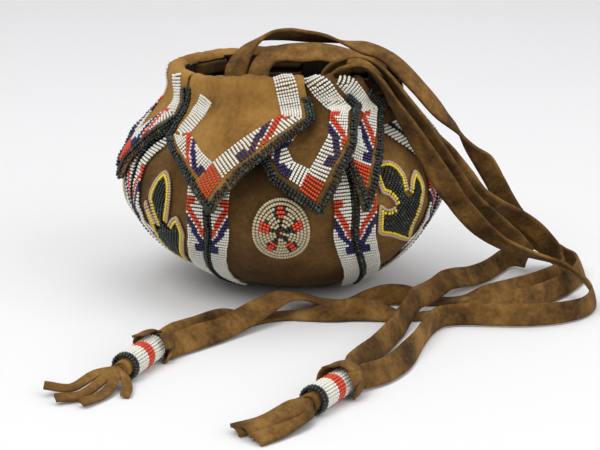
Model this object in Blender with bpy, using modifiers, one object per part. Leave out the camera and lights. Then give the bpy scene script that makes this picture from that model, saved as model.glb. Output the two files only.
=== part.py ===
"""A beaded medicine bag of brown hide, in metres, +Z up, standing on the floor at z = 0.

Eight gores make a squat round pouch. The top of each gore folds outwards into a pointed flap. Beadwork covers the
seams and borders the flaps, and each gore carries a beaded rosette or leaf. Two flat thongs are woven through slits
in the neck. Their four free ends arch over the right side to the floor and end in two tassels.
Azimuth is in degrees: 0 is the front (-Y), and 90 is the right side (+X).
"""

import math

import bmesh
import bpy
from mathutils import Matrix, Vector

OBJECT_NAME = "beaded_medicine_bag"

# The hide body
BAG_RADIUS = 0.0760
BELLY_HEIGHT = 0.0520
NECK_RADIUS = 0.0495
NECK_HEIGHT = 0.1058
BASE_RADIUS = 0.0180
HIDE = 0.0013
GORE_BULGE = 0.0015
SEAM_GAP = 0.0006
POLE_HOLE = 0.0020
POLE_SHIFT = (0.0070, 0.0060)
POLE_SHIFT_HEIGHT = 0.0400
SPLAY_HEIGHT = 0.0450
SPLAY_POWER = 1.5
CLIMB_SHARE = 0.36

# Shares of the belly's radius and height, then of the shoulder's fall in radius and rise
LOWER_SHARES = ((0.395, 0.050), (0.579, 0.173), (0.757, 0.375), (0.895, 0.606), (0.980, 0.827))
UPPER_SHARES = ((0.094, 0.204), (0.340, 0.390), (0.641, 0.576), (0.849, 0.725), (0.943, 0.855))

# Beadwork
BEAD = 0.0015
BEAD_SEAT = 0.0008
BORDER_SEAT = 0.0013
LANE_WIDTH = 0.0084
RIDGE_WIDTH = 0.0042
RIDGE_RISE = 0.0007
SEAM_BEAD_LOW = 0.0050
SEAM_BEAD_ROOM = 0.0055
SEAM_BEAD_SHARE = 0.43
ROSETTE_WIDTH = 0.0255
ROSETTE_HEIGHT = 0.0315
ROSETTE_LEVEL = 0.0450
ROSETTE_GAP = 0.0016

# Flaps
FLAP_CLEARANCE = 0.0013
RIM_ROLL = 0.0015
RIM_ROLL_LENGTH = 0.0120
LAYER_SPARE = 0.0018
EDGE_MARGIN = 0.0040
EDGING_INSET = 0.0002
EDGING_WIDTH = 0.0022
EDGING_START = 0.0040
TIP_WIDTH = 0.0030
BORDER_STEP = 0.0100
EDGE_SHARES = (0.0, 0.35, 0.65, 1.0)

# Thongs
THONG_WIDTH = 0.0105
THONG_THICKNESS = 0.0015
WOVEN_WIDTH = 0.0060
WOVEN_THICKNESS = 0.0012
WOVEN_CLEARANCE = 0.0007
SLIT_OPENING = 0.0034
SLIT_HEIGHT = 0.0070
SLIT_BRIDGE = 0.0013

# Tassels
TUBE_RADIUS = 0.0057
TUBE_LENGTH = 0.0300
TUBE_CLEARANCE = 0.0005
PIECE_GAP = 0.0004

# Seams at the belly and at the neck, and how far each splays at the base: seam k is on the left of gore k
SEAM_AZIMUTHS = (-70.0, -26.5, 25.0, 70.0, 110.0, 155.0, 205.0, 250.0)
NECK_SEAMS = (-51.5, 10.0, 24.0, 54.0, 113.5, 159.5, 206.5, 255.5)
SEAM_SPLAYS = (-8.0, -28.0, 28.0, 8.0, 0.0, -6.0, 6.0, 0.0)

# Each flap: rim from left to right, left corner, right corner, tip, where its two bead lanes start, and the azimuths
# between which it climbs onto its neighbour. Some have a second corner, lower down a side. Azimuths in degrees, and
# drops below the rim in metres.
FLAPS = (
    {"rim": (-50.5, 9.0), "left": (-52.0, 0.0325), "right": (11.5, 0.0205), "tip": (-22.5, 0.0595),
     "lanes": ((-38.5, 0.0080), (1.5, 0.0015)), "climb": (-38.0, -20.0)},
    {"rim": (11.0, 23.0), "left": (-11.0, 0.030), "right": (33.5, 0.011), "tip": (11.4, 0.0595),
     "left_low": (-3.5, 0.0465), "right_low": (26.0, 0.0340),
     "lanes": ((6.5, 0.0170), (16.5, 0.0010)), "climb": (10.0, 19.0)},
    {"rim": (25.0, 41.0), "left": (21.0, 0.034), "right": (53.5, 0.014), "tip": (27.5, 0.0605),
     "lanes": ((30.5, 0.0220), (33.0, 0.0025)), "climb": None},
    {"rim": (74.0, 112.5), "left": (74.0, 0.020), "right": (114.0, 0.020), "tip": (92.5, 0.058),
     "lanes": ((83.0, 0.002), (103.0, 0.002)), "climb": None},
    {"rim": (115.0, 158.0), "left": (116.0, 0.020), "right": (158.5, 0.020), "tip": (137.0, 0.058),
     "lanes": ((125.0, 0.002), (149.0, 0.002)), "climb": None},
    {"rim": (161.0, 205.0), "left": (160.5, 0.020), "right": (205.5, 0.020), "tip": (183.0, 0.058),
     "lanes": ((170.5, 0.002), (195.5, 0.002)), "climb": None},
    {"rim": (208.0, 254.0), "left": (207.5, 0.020), "right": (254.0, 0.020), "tip": (231.0, 0.058),
     "lanes": ((217.5, 0.002), (244.5, 0.002)), "climb": None},
    {"rim": (257.0, 306.5), "left": (256.5, 0.020), "right": (305.5, 0.022), "tip": (281.0, 0.058),
     "lanes": ((266.5, 0.002), (297.0, 0.002)), "climb": None},
)

# Outlines of the beaded leaves: across the gore, and along the profile from the pole, in metres
LEAF_UPRIGHT = (
    (0.0030, 0.0640), (-0.0066, 0.0700), (-0.0098, 0.0850), (-0.0119, 0.0975), (-0.0098, 0.1005),
    (-0.0071, 0.0960), (-0.0040, 0.0900), (-0.0058, 0.0985), (-0.0070, 0.1040), (-0.0026, 0.1130),
    (0.0018, 0.1165), (0.0071, 0.1125), (0.0092, 0.1060), (0.0082, 0.0985), (0.0051, 0.0920),
    (0.0084, 0.0955), (0.0125, 0.0972), (0.0143, 0.0940), (0.0146, 0.0870), (0.0089, 0.0740),
)
LEAF_LEANING = (
    (0.0070, 0.0780), (-0.0081, 0.0855), (-0.0154, 0.0885), (-0.0174, 0.0935), (-0.0181, 0.1010),
    (-0.0169, 0.1035), (-0.0129, 0.1010), (-0.0091, 0.1020), (-0.0117, 0.1060), (-0.0160, 0.1090),
    (-0.0161, 0.1170), (-0.0119, 0.1225), (-0.0037, 0.1220), (0.0004, 0.1150), (0.0008, 0.1070),
    (0.0039, 0.1120), (0.0084, 0.1150), (0.0115, 0.1120), (0.0130, 0.1050), (0.0077, 0.0940),
    (0.0061, 0.0880),
)
LEAF_GRID = 0.0080
LEAF_ROOM = 0.0380

# The free thong ends, from the mouth to the tassels: x, y, z in metres, and the lean of the width from level
ROUTE_A = (
    (-0.0225, -0.0355, 0.1070, 0), (-0.0215, -0.0320, 0.1134, 0), (-0.0170, -0.0260, 0.1202, 10),
    (-0.0095, -0.0190, 0.1246, 25), (0.0004, -0.0140, 0.1250, 35), (0.0099, -0.0120, 0.1240, 35),
    (0.0199, -0.0120, 0.1228, 25), (0.0304, -0.0130, 0.1205, 0), (0.0379, -0.0145, 0.1185, -20),
    (0.0469, -0.0165, 0.1160, -18), (0.0550, -0.0185, 0.1098, -24), (0.0646, -0.0200, 0.0998, -32),
    (0.0745, -0.0200, 0.0885, -36), (0.0825, -0.0170, 0.0802, -25), (0.0903, -0.0130, 0.0705, 0),
    (0.0967, -0.0080, 0.0626, 25), (0.1034, -0.0020, 0.0516, 40), (0.1098, 0.0040, 0.0397, 48),
    (0.1158, 0.0090, 0.0297, 52), (0.1237, 0.0140, 0.0203, 56), (0.1326, 0.0175, 0.0120, 62),
    (0.1420, 0.0160, 0.0070, 68), (0.1482, 0.0080, 0.0056, 70), (0.1485, -0.0040, 0.0055, 68),
    (0.1435, -0.0170, 0.0053, 62), (0.1345, -0.0310, 0.0052, 60), (0.1235, -0.0440, 0.0052, 60),
    (0.1120, -0.0535, 0.0053, 62), (0.1000, -0.0595, 0.0052, 60), (0.0880, -0.0625, 0.0040, 35),
    (0.0770, -0.0640, 0.0020, 8), (0.0660, -0.0655, 0.0012, 0), (0.0550, -0.0670, 0.0016, 6),
    (0.0450, -0.0680, 0.0040, 40), (0.0340, -0.0690, 0.0054, 64), (0.0220, -0.0690, 0.0044, 42),
    (0.0110, -0.0665, 0.0022, 14), (0.0010, -0.0655, 0.0014, 2), (-0.0090, -0.0690, 0.0016, 6),
    (-0.0190, -0.0755, 0.0032, 26), (-0.0290, -0.0840, 0.0053, 60), (-0.0390, -0.0950, 0.0054, 62),
    (-0.0470, -0.1050, 0.0054, 58), (-0.0509, -0.1122, 0.0058, 50), (-0.0531, -0.1178, 0.0061, 48),
)
ROUTE_B = (
    (-0.0125, -0.0425, 0.1070, 0), (-0.0112, -0.0392, 0.1124, 0), (-0.0080, -0.0340, 0.1160, -10),
    (-0.0019, -0.0290, 0.1180, -30), (0.0075, -0.0260, 0.1182, -42), (0.0169, -0.0255, 0.1180, -42),
    (0.0273, -0.0255, 0.1165, -36), (0.0358, -0.0265, 0.1140, -20), (0.0433, -0.0275, 0.1096, -12),
    (0.0509, -0.0265, 0.1025, 0), (0.0585, -0.0270, 0.0935, 15), (0.0662, -0.0275, 0.0840, 28),
    (0.0735, -0.0275, 0.0745, 38), (0.0800, -0.0245, 0.0660, 45), (0.0866, -0.0205, 0.0567, 45),
    (0.0941, -0.0155, 0.0470, 45), (0.1035, -0.0090, 0.0390, 48), (0.1137, -0.0030, 0.0330, 50),
    (0.1237, 0.0020, 0.0256, 55), (0.1315, 0.0050, 0.0170, 62), (0.1375, 0.0055, 0.0090, 68),
    (0.1410, 0.0000, 0.0062, 70), (0.1385, -0.0085, 0.0055, 68), (0.1310, -0.0180, 0.0053, 62),
    (0.1200, -0.0280, 0.0052, 60), (0.1080, -0.0360, 0.0050, 55), (0.0970, -0.0400, 0.0034, 30),
    (0.0870, -0.0420, 0.0014, 4), (0.0770, -0.0430, 0.0012, 0), (0.0670, -0.0435, 0.0020, 12),
    (0.0580, -0.0440, 0.0045, 48), (0.0490, -0.0450, 0.0050, 56), (0.0400, -0.0470, 0.0035, 30),
    (0.0300, -0.0490, 0.0016, 5), (0.0190, -0.0510, 0.0030, 2), (0.0090, -0.0550, 0.0072, 5),
    (0.0000, -0.0630, 0.0100, 10), (-0.0080, -0.0735, 0.0092, 25), (-0.0180, -0.0860, 0.0068, 46),
    (-0.0275, -0.0975, 0.0052, 54), (-0.0370, -0.1075, 0.0052, 56), (-0.0450, -0.1165, 0.0054, 60),
    (-0.0495, -0.1225, 0.0056, 66),
)
ROUTE_C = (
    (0.0215, -0.0345, 0.1065, 18), (0.0235, -0.0365, 0.1120, 18), (0.0275, -0.0385, 0.1168, 10),
    (0.0335, -0.0385, 0.1185, 8), (0.0395, -0.0380, 0.1168, 8), (0.0450, -0.0378, 0.1128, 12),
    (0.0500, -0.0378, 0.1070, 18), (0.0560, -0.0378, 0.0985, 25), (0.0625, -0.0375, 0.0890, 32),
    (0.0690, -0.0365, 0.0785, 38), (0.0755, -0.0345, 0.0675, 42), (0.0815, -0.0315, 0.0575, 45),
    (0.0880, -0.0265, 0.0480, 45), (0.0965, -0.0205, 0.0390, 46), (0.1050, -0.0145, 0.0305, 48),
    (0.1125, -0.0085, 0.0225, 50), (0.1180, -0.0025, 0.0155, 54), (0.1222, 0.0045, 0.0100, 60),
    (0.1230, 0.0125, 0.0066, 68), (0.1185, 0.0180, 0.0058, 74), (0.1130, 0.0155, 0.0056, 68),
    (0.1080, 0.0080, 0.0052, 58), (0.1005, -0.0050, 0.0050, 54),
    (0.0920, -0.0160, 0.0056, 52), (0.0845, -0.0260, 0.0078, 50), (0.0780, -0.0360, 0.0090, 50),
    (0.0720, -0.0460, 0.0085, 54), (0.0665, -0.0560, 0.0090, 62), (0.0610, -0.0670, 0.0100, 68),
    (0.0560, -0.0800, 0.0078, 68), (0.0510, -0.0935, 0.0055, 66), (0.0460, -0.1070, 0.0053, 62),
    (0.0410, -0.1200, 0.0053, 58), (0.0355, -0.1330, 0.0054, 58), (0.0305, -0.1450, 0.0056, 60),
    (0.0288, -0.1566, 0.0060, 62),
)
ROUTE_D = (
    (0.0240, -0.0380, 0.1065, 18), (0.0262, -0.0402, 0.1105, 18), (0.0300, -0.0420, 0.1143, 10),
    (0.0352, -0.0420, 0.1150, 8), (0.0405, -0.0415, 0.1118, 10), (0.0460, -0.0415, 0.1052, 18),
    (0.0510, -0.0420, 0.0975, 28), (0.0565, -0.0425, 0.0890, 38), (0.0625, -0.0425, 0.0795, 42),
    (0.0690, -0.0415, 0.0690, 44), (0.0755, -0.0390, 0.0585, 45), (0.0820, -0.0350, 0.0485, 45),
    (0.0885, -0.0310, 0.0400, 44), (0.0957, -0.0275, 0.0325, 42), (0.1038, -0.0250, 0.0260, 40),
    (0.1129, -0.0240, 0.0215, 35), (0.1215, -0.0240, 0.0185, 28), (0.1300, -0.0255, 0.0165, 25),
    (0.1380, -0.0295, 0.0140, 32), (0.1440, -0.0370, 0.0100, 50), (0.1465, -0.0465, 0.0070, 70),
    (0.1445, -0.0570, 0.0057, 82), (0.1385, -0.0665, 0.0056, 86), (0.1295, -0.0735, 0.0056, 88),
    (0.1190, -0.0775, 0.0056, 88), (0.1080, -0.0790, 0.0056, 88), (0.0970, -0.0785, 0.0056, 88),
    (0.0870, -0.0775, 0.0056, 86), (0.0785, -0.0775, 0.0056, 84), (0.0715, -0.0810, 0.0056, 84),
    (0.0665, -0.0900, 0.0056, 84), (0.0625, -0.1020, 0.0056, 84), (0.0585, -0.1150, 0.0056, 80),
    (0.0540, -0.1280, 0.0054, 66), (0.0485, -0.1400, 0.0053, 55), (0.0415, -0.1510, 0.0055, 60),
    (0.0322, -0.1600, 0.0060, 72),
)

# Each tassel: the inner and outer ends of its axis on the plan, and the hide strips that spread from its outer end
TASSEL_LEFT = {"inner": (-0.0545, -0.1210), "outer": (-0.0655, -0.1490)}
TASSEL_RIGHT = {"inner": (0.0270, -0.1610), "outer": (0.0120, -0.1870)}
FRINGE_LEFT = (
    ((-0.0760, -0.1560, 0.0060), (-0.0850, -0.1640, 0.0030), (-0.0960, -0.1650, 0.0045)),
    ((-0.0720, -0.1580, 0.0050), (-0.0800, -0.1700, 0.0022), (-0.0900, -0.1750, 0.0030)),
    ((-0.0680, -0.1570, 0.0045), (-0.0710, -0.1680, 0.0020), (-0.0790, -0.1790, 0.0024)),
    ((-0.0640, -0.1560, 0.0040), (-0.0625, -0.1630, 0.0018), (-0.0630, -0.1690, 0.0016)),
)
FRINGE_RIGHT = (
    ((0.0060, -0.1960, 0.0080), (-0.0030, -0.2040, 0.0060), (-0.0130, -0.2110, 0.0040)),
    ((0.0080, -0.1980, 0.0050), (0.0000, -0.2080, 0.0030), (-0.0090, -0.2160, 0.0022)),
    ((0.0040, -0.1940, 0.0050), (-0.0060, -0.2000, 0.0030), (-0.0170, -0.2070, 0.0024)),
)
STRIP_WIDTH = 0.0040
STRIP_THICKNESS = 0.0016

COLOURS = {
    "hide": (0.33, 0.20, 0.09),
    "thong": (0.32, 0.21, 0.10),
    "white beads": (0.93, 0.92, 0.88),
    "tan beads": (0.72, 0.66, 0.50),
    "dark beads": (0.03, 0.06, 0.05),
}

for old in list(bpy.data.objects):
    bpy.data.objects.remove(old)

parts = bpy.data.collections.new(OBJECT_NAME)
bpy.context.scene.collection.children.link(parts)
cutters = bpy.data.collections.new(OBJECT_NAME + "_joined_shapes")
bpy.context.scene.collection.children.link(cutters)


def material(name, roughness):
    """A Principled material of one of the bag's colours."""
    made = bpy.data.materials.new(name)
    made.use_nodes = True
    shader = made.node_tree.nodes["Principled BSDF"]
    shader.inputs["Base Color"].default_value = (*COLOURS[name], 1.0)
    shader.inputs["Roughness"].default_value = roughness
    return made


HIDE_MATERIAL = material("hide", 0.9)
THONG_MATERIAL = material("thong", 0.85)
WHITE_BEADS = material("white beads", 0.35)
TAN_BEADS = material("tan beads", 0.35)
DARK_BEADS = material("dark beads", 0.2)


def spline(points, steps):
    """Points on a smooth curve through the given ones, as Vectors, with this many steps between each two."""
    known = [Vector(p) for p in points]
    known = [2 * known[0] - known[1], *known, 2 * known[-1] - known[-2]]
    found = []
    for before, start, end, after in zip(known, known[1:], known[2:], known[3:]):
        for step in range(steps):
            t = step / steps
            cubic = 3 * start - before - 3 * end + after
            square = 2 * before - 5 * start + 4 * end - after
            found.append(0.5 * (2 * start + (end - before) * t + square * t**2 + cubic * t**3))
    found.append(known[-2])
    return found


def profile_nodes():
    """Radius and height along the hide's outer face, from the flat base up to the rim."""
    fall = BAG_RADIUS - NECK_RADIUS
    rise = NECK_HEIGHT - BELLY_HEIGHT
    lower = [(BAG_RADIUS * r, BELLY_HEIGHT * z) for r, z in LOWER_SHARES]
    upper = [(BAG_RADIUS - fall * r, BELLY_HEIGHT + rise * z) for r, z in UPPER_SHARES]
    start = [(0.0, 0.0), (BASE_RADIUS, 0.0)]
    return start + lower + [(BAG_RADIUS, BELLY_HEIGHT)] + upper + [(NECK_RADIUS, NECK_HEIGHT)]


NODES = profile_nodes()
PROFILE_STEPS = 10
PROFILE = [Vector((r, z)) for r, z, _ in spline([(r, z, 0.0) for r, z in NODES], PROFILE_STEPS)]
LENGTHS = [0.0]
for first, second in zip(PROFILE, PROFILE[1:]):
    LENGTHS.append(LENGTHS[-1] + (second - first).length)
NECK_LENGTH = LENGTHS[-1]
NODE_LENGTHS = LENGTHS[::PROFILE_STEPS]
BELLY_NODE = 7
MID_LENGTHS = LENGTHS[BELLY_NODE * PROFILE_STEPS + PROFILE_STEPS // 2 :: PROFILE_STEPS]
ROW_LENGTHS = sorted(NODE_LENGTHS + MID_LENGTHS)


def between(value, xs, ys):
    """Straight-line reading of ys at value, where xs climbs."""
    if value <= xs[0]:
        return ys[0]
    for x0, x1, y0, y1 in zip(xs, xs[1:], ys, ys[1:]):
        if value <= x1:
            return y0 + (y1 - y0) * (value - x0) / max(x1 - x0, 1e-9)
    return ys[-1]


def length_at(height):
    """Length along the profile where it reaches this height above the base."""
    first = 2 * PROFILE_STEPS
    return between(height, [p.y for p in PROFILE[first:]], LENGTHS[first:])


def profile(length):
    """Point and outward normal of the profile, both as (radius, height), at a length from the pole."""
    point = Vector((between(length, LENGTHS, [p.x for p in PROFILE]), between(length, LENGTHS, [p.y for p in PROFILE])))
    reach = 0.0015
    ahead = min(length + reach, NECK_LENGTH)
    behind = max(ahead - 2 * reach, 0.0)
    tangent = Vector((
        between(ahead, LENGTHS, [p.x for p in PROFILE]) - between(behind, LENGTHS, [p.x for p in PROFILE]),
        between(ahead, LENGTHS, [p.y for p in PROFILE]) - between(behind, LENGTHS, [p.y for p in PROFILE]),
    )).normalized()
    return point, Vector((tangent.y, -tangent.x)), tangent


def smooth(value):
    """0 below 0, 1 above 1, and a smooth step between."""
    t = min(max(value, 0.0), 1.0)
    return t * t * (3 - 2 * t)


def seam_azimuth(k, height):
    """Azimuth of seam k at a height: splayed near the base, upright at the belly, and drawn over to the neck."""
    turn = 360.0 * (k // 8)
    low = max(1 - height / SPLAY_HEIGHT, 0.0) ** SPLAY_POWER
    splayed = SEAM_AZIMUTHS[k % 8] + SEAM_SPLAYS[k % 8] * low
    shoulder = NECK_HEIGHT - 2 * SLIT_HEIGHT - BELLY_HEIGHT
    climbed = smooth((height - BELLY_HEIGHT - CLIMB_SHARE * shoulder) / ((1 - CLIMB_SHARE) * shoulder))
    return splayed + (NECK_SEAMS[k % 8] - splayed) * climbed + turn


def bulge(azimuth, height):
    """How far the hide swells between two seams."""
    for k in range(-8, 16):
        left = seam_azimuth(k, height)
        right = seam_azimuth(k + 1, height)
        if left <= azimuth <= right:
            across = 2 * (azimuth - left) / (right - left) - 1
            fade = smooth(height / 0.03) * smooth((NECK_HEIGHT - 0.015 - height) / 0.02)
            return GORE_BULGE * (1 - across * across) * fade
    return 0.0


def place(azimuth, length, lift):
    """Point of the bag's surface, lifted off it along its normal."""
    point, normal, _ = profile(length)
    near_pole = max(1 - point.y / POLE_SHIFT_HEIGHT, 0.0) ** 2
    radius = point.x + bulge(azimuth, point.y) + normal.x * lift
    angle = math.radians(azimuth)
    return Vector((
        POLE_SHIFT[0] * near_pole + radius * math.sin(angle),
        POLE_SHIFT[1] * near_pole - radius * math.cos(angle),
        point.y + normal.y * lift,
    ))


def radius_at(length):
    return max(profile(length)[0].x, 0.001)


def degrees_of(distance, length):
    """The azimuth that a distance round the bag takes at this place on the profile."""
    return math.degrees(distance / radius_at(length))


def finished(name, mesh, maker):
    made = bpy.data.objects.new(name, mesh)
    made.data.materials.append(maker)
    parts.objects.link(made)
    return made


def sheet(name, rows, thickness, offset, maker, holes=()):
    """A grid of points as one sheet with a thickness. Holes are (row, column) cells that are left out."""
    bm = bmesh.new()
    columns = len(rows[0]) - 1
    bmesh.ops.create_grid(bm, x_segments=columns, y_segments=len(rows) - 1, size=1.0)
    cells = {}
    for vert in bm.verts:
        column = round((vert.co.x + 1) / 2 * columns)
        row = round((vert.co.y + 1) / 2 * (len(rows) - 1))
        cells[vert] = (row, column)
    left_out = []
    for face in bm.faces:
        corner = min(cells[vert] for vert in face.verts)
        if corner in holes:
            left_out.append(face)
    for vert, (row, column) in cells.items():
        vert.co = rows[row][column]
    if left_out:
        bmesh.ops.delete(bm, geom=left_out, context="FACES")
    mesh = bpy.data.meshes.new(name)
    bm.to_mesh(mesh)
    bm.free()
    made = finished(name, mesh, maker)
    add_wall(made, thickness, offset)
    return made


def add_wall(made, thickness, offset, even=True):
    wall = made.modifiers.new("wall", "SOLIDIFY")
    wall.thickness = thickness
    wall.offset = offset
    wall.use_even_offset = even
    wall.use_rim = True


# Lift of a flap's underside off the hide below it: over the seam beads, and over a neighbour
SEAM_BEAD_TOP = BEAD_SEAT + BEAD + RIDGE_RISE
FLAP_LOW = SEAM_BEAD_TOP + FLAP_CLEARANCE
FLAP_HIGH = FLAP_LOW + HIDE + BORDER_SEAT + BEAD + LAYER_SPARE


def flap_lift(flap, azimuth, drop):
    climb = flap["climb"]
    risen = between(azimuth, climb, (0.0, 1.0)) if climb else 0.0
    roll = RIM_ROLL * (1 - smooth(drop / RIM_ROLL_LENGTH))
    return FLAP_LOW + (FLAP_HIGH - FLAP_LOW) * risen + roll


def flap_place(flap, azimuth, drop, above):
    """Point on a flap at a drop below the rim, this far above its underside."""
    return place(azimuth, NECK_LENGTH - drop, flap_lift(flap, azimuth, drop) + above)


def fold_place(flap, azimuth, turn):
    """Point on the rolled fold at the rim, from the neck (turn 0) to the flap (turn 1)."""
    foot = place(azimuth, NECK_LENGTH, 0.0)
    _, normal, tangent = profile(NECK_LENGTH)
    half = flap_lift(flap, azimuth, 0.0) / 2
    out = half * (1 - math.cos(math.pi * turn))
    up = half * math.sin(math.pi * turn)
    angle = math.radians(azimuth)
    radial = Vector((math.sin(angle), -math.cos(angle), 0.0))
    side = radial * normal.x + Vector((0, 0, normal.y))
    along = radial * tangent.x + Vector((0, 0, tangent.y))
    return foot + side * out + along * up


def flap_reach(drop):
    """How far a flap lies from the bag's axis at a drop below the rim."""
    return radius_at(NECK_LENGTH - drop) + FLAP_LOW


def to_flat(flap, azimuth, drop):
    """A place on a flap laid flat: across from the tip's azimuth, and up from the rim."""
    return Vector((math.radians(azimuth - flap["tip"][0]) * flap_reach(drop), -drop))


def from_flat(flap, spot):
    """Azimuth and drop of a place on a flap laid flat."""
    drop = max(-spot.y, 0.0005)
    return flap["tip"][0] + math.degrees(spot.x / flap_reach(drop)), drop


def flap_side(flap, side):
    """A flap's left or right edge laid flat: rim, corner, lower corner and tip."""
    turn = -1 if side == "left" else 1
    rim = to_flat(flap, flap["rim"][0 if side == "left" else 1], 0.0)
    corner = to_flat(flap, *flap[side])
    tip = to_flat(flap, *flap["tip"]) + Vector((turn * TIP_WIDTH / 2, 0.0))
    low = flap.get(side + "_low")
    run = (EDGE_SHARES[2] - EDGE_SHARES[1]) / (1 - EDGE_SHARES[1])
    return [rim, corner, to_flat(flap, *low) if low else corner.lerp(tip, run), tip]


def flap_edge(flap, side, share):
    """Place laid flat on a flap's edge, from the rim (share 0) to the tip (share 1)."""
    line = flap_side(flap, side)
    return Vector([between(share, EDGE_SHARES, [point[axis] for point in line]) for axis in (0, 1)])


def flap_outline(flap):
    """A flap's free edge laid flat, from the rim round its tip to the rim."""
    left, right = [flap_side(flap, side)[: 3 if side + "_low" in flap else 2] for side in ("left", "right")]
    return [*left, to_flat(flap, *flap["tip"]), *reversed(right)]


SLIT_TOP_HIGH = NECK_HEIGHT
SLIT_LOW_HIGH = SLIT_TOP_HIGH - SLIT_HEIGHT
SLIT_TOP_LOW = SLIT_LOW_HIGH - SLIT_BRIDGE
SLIT_LOW_LOW = SLIT_TOP_LOW - SLIT_HEIGHT
SEAM_BEAD_HIGH = SLIT_LOW_LOW - SEAM_BEAD_ROOM
FOLD_TURNS = (1 / 3, 2 / 3, 1.0)
FLAP_SHARES = (0.17, 0.35, 0.5, 0.65, 0.8, 0.91, 1.0)


def columns_of(k):
    """Places across gore k, from -1 at its left seam to 1, with a narrow column at each slit."""
    neck_width = math.radians(seam_azimuth(k + 1, NECK_HEIGHT) - seam_azimuth(k, NECK_HEIGHT)) * NECK_RADIUS
    slit = SLIT_OPENING / neck_width
    return (-1.0, -0.5 - slit, -0.5 + slit, 0.0, 0.5 - slit, 0.5 + slit, 1.0)


def gore_row(k, length):
    """One row of points across gore k at a length along the profile."""
    height = profile(length)[0].y
    edge = degrees_of(SEAM_GAP / 2, length)
    left = seam_azimuth(k, height) + edge
    right = seam_azimuth(k + 1, height) - edge
    return [place(left + (right - left) * (u + 1) / 2, length, 0.0) for u in columns_of(k)]


def gore(k):
    """One gore of hide with its flap, folded from a single piece."""
    flap = FLAPS[k]
    body = [POLE_HOLE, *[length for length in ROW_LENGTHS[1:] if profile(length)[0].y < SLIT_LOW_LOW - 0.003]]
    slits = [length_at(z) for z in (SLIT_LOW_LOW, SLIT_TOP_LOW, SLIT_LOW_HIGH)] + [NECK_LENGTH]
    rows = [gore_row(k, length) for length in body + slits]
    first_slit = len(body)
    columns = columns_of(k)
    edge = degrees_of(SEAM_GAP / 2, NECK_LENGTH)
    neck = (seam_azimuth(k, NECK_HEIGHT) + edge, seam_azimuth(k + 1, NECK_HEIGHT) - edge)
    for turn in FOLD_TURNS:
        left, right = flap["rim"]
        rows.append([fold_place(flap, left + (right - left) * (u + 1) / 2, turn) for u in columns])
    for share in FLAP_SHARES:
        left = flap_edge(flap, "left", share)
        right = flap_edge(flap, "right", share)
        spots = [from_flat(flap, left.lerp(right, (u + 1) / 2)) for u in columns]
        rows.append([flap_place(flap, azimuth, drop, 0.0) for azimuth, drop in spots])
    holes = {(row, column) for row in (first_slit, first_slit + 2) for column in (1, 4)}
    return sheet(f"gore_{k + 1}", rows, HIDE, -1.0, HIDE_MATERIAL, holes)


def seam_beadwork(k):
    """The two bead lanes and the dark ridge that cover seam k."""
    low = length_at(SEAM_BEAD_LOW)
    high = length_at(SEAM_BEAD_HIGH)
    inner = [length for length in ROW_LENGTHS if low + 0.003 < length < high - 0.003]
    rows = []
    for length in [low, *inner, high]:
        height = profile(length)[0].y
        seam = seam_azimuth(k, height)
        narrow = min(seam - seam_azimuth(k - 1, height), seam_azimuth(k + 1, height) - seam)
        room = math.radians(narrow) * radius_at(length) * SEAM_BEAD_SHARE
        fit = min(1.0, room / (LANE_WIDTH + RIDGE_WIDTH / 2))
        row = []
        for across, rise in (
            (-LANE_WIDTH - RIDGE_WIDTH / 2, 0.0),
            (-RIDGE_WIDTH / 2, 0.0),
            (0.0, RIDGE_RISE),
            (RIDGE_WIDTH / 2, 0.0),
            (LANE_WIDTH + RIDGE_WIDTH / 2, 0.0),
        ):
            row.append(place(seam + degrees_of(across * fit, length), length, BEAD_SEAT + rise))
        rows.append(row)
    return sheet(f"seam_beadwork_{k + 1}", rows, BEAD, 1.0, WHITE_BEADS)


def offset_line(points, distance):
    """A polyline on the plan moved to its left by a distance, with mitred corners."""
    moved = []
    for index, point in enumerate(points):
        before = (point - points[index - 1]).normalized() if index else None
        after = (points[index + 1] - point).normalized() if index + 1 < len(points) else None
        before = before or after
        after = after or before
        side = (before + after).normalized()
        side = Vector((-side.y, side.x))
        straight = Vector((-before.y, before.x))
        moved.append(point + side * (distance / max(side.dot(straight), 0.3)))
    return moved


def bead_band(name, flap, outer, inner, columns, maker):
    """A band of beads on a flap between two lines that are laid flat."""
    legs = len(outer) - 1
    rows = []
    for leg in range(legs):
        count = max(1, round((outer[leg + 1] - outer[leg]).length / BORDER_STEP))
        for step in range(count + (leg == legs - 1)):
            out = outer[leg].lerp(outer[leg + 1], step / count)
            into = inner[leg].lerp(inner[leg + 1], step / count)
            spots = [from_flat(flap, out.lerp(into, column / columns)) for column in range(columns + 1)]
            rows.append([flap_place(flap, azimuth, drop, HIDE + BORDER_SEAT) for azimuth, drop in spots])
    return sheet(name, rows, BEAD, -1.0, maker)


def flap_border(k):
    """The bead lane that runs down both sides of a flap and meets at its tip."""
    flap = FLAPS[k]
    corners = offset_line(flap_outline(flap), EDGE_MARGIN + LANE_WIDTH / 2)[1:-1]
    starts = [to_flat(flap, *start) for start in flap["lanes"]]
    centre = [starts[0], *corners, starts[1]]
    outer = offset_line(centre, -LANE_WIDTH / 2)
    inner = offset_line(centre, LANE_WIDTH / 2)
    return bead_band(f"flap_border_{k + 1}", flap, outer, inner, 2, WHITE_BEADS)


def flap_edging(k):
    """The dark beads sewn along a flap's cut edge."""
    flap = FLAPS[k]
    line = flap_outline(flap)
    line[0] = line[0].lerp(line[1], EDGING_START / -line[1].y)
    line[-1] = line[-1].lerp(line[-2], EDGING_START / -line[-2].y)
    outer = offset_line(line, EDGING_INSET)
    inner = offset_line(line, EDGING_INSET + EDGING_WIDTH)
    return bead_band(f"flap_edging_{k + 1}", flap, outer, inner, 1, DARK_BEADS)


def gore_centre(k, height):
    return (seam_azimuth(k, height) + seam_azimuth(k + 1, height)) / 2


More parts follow.
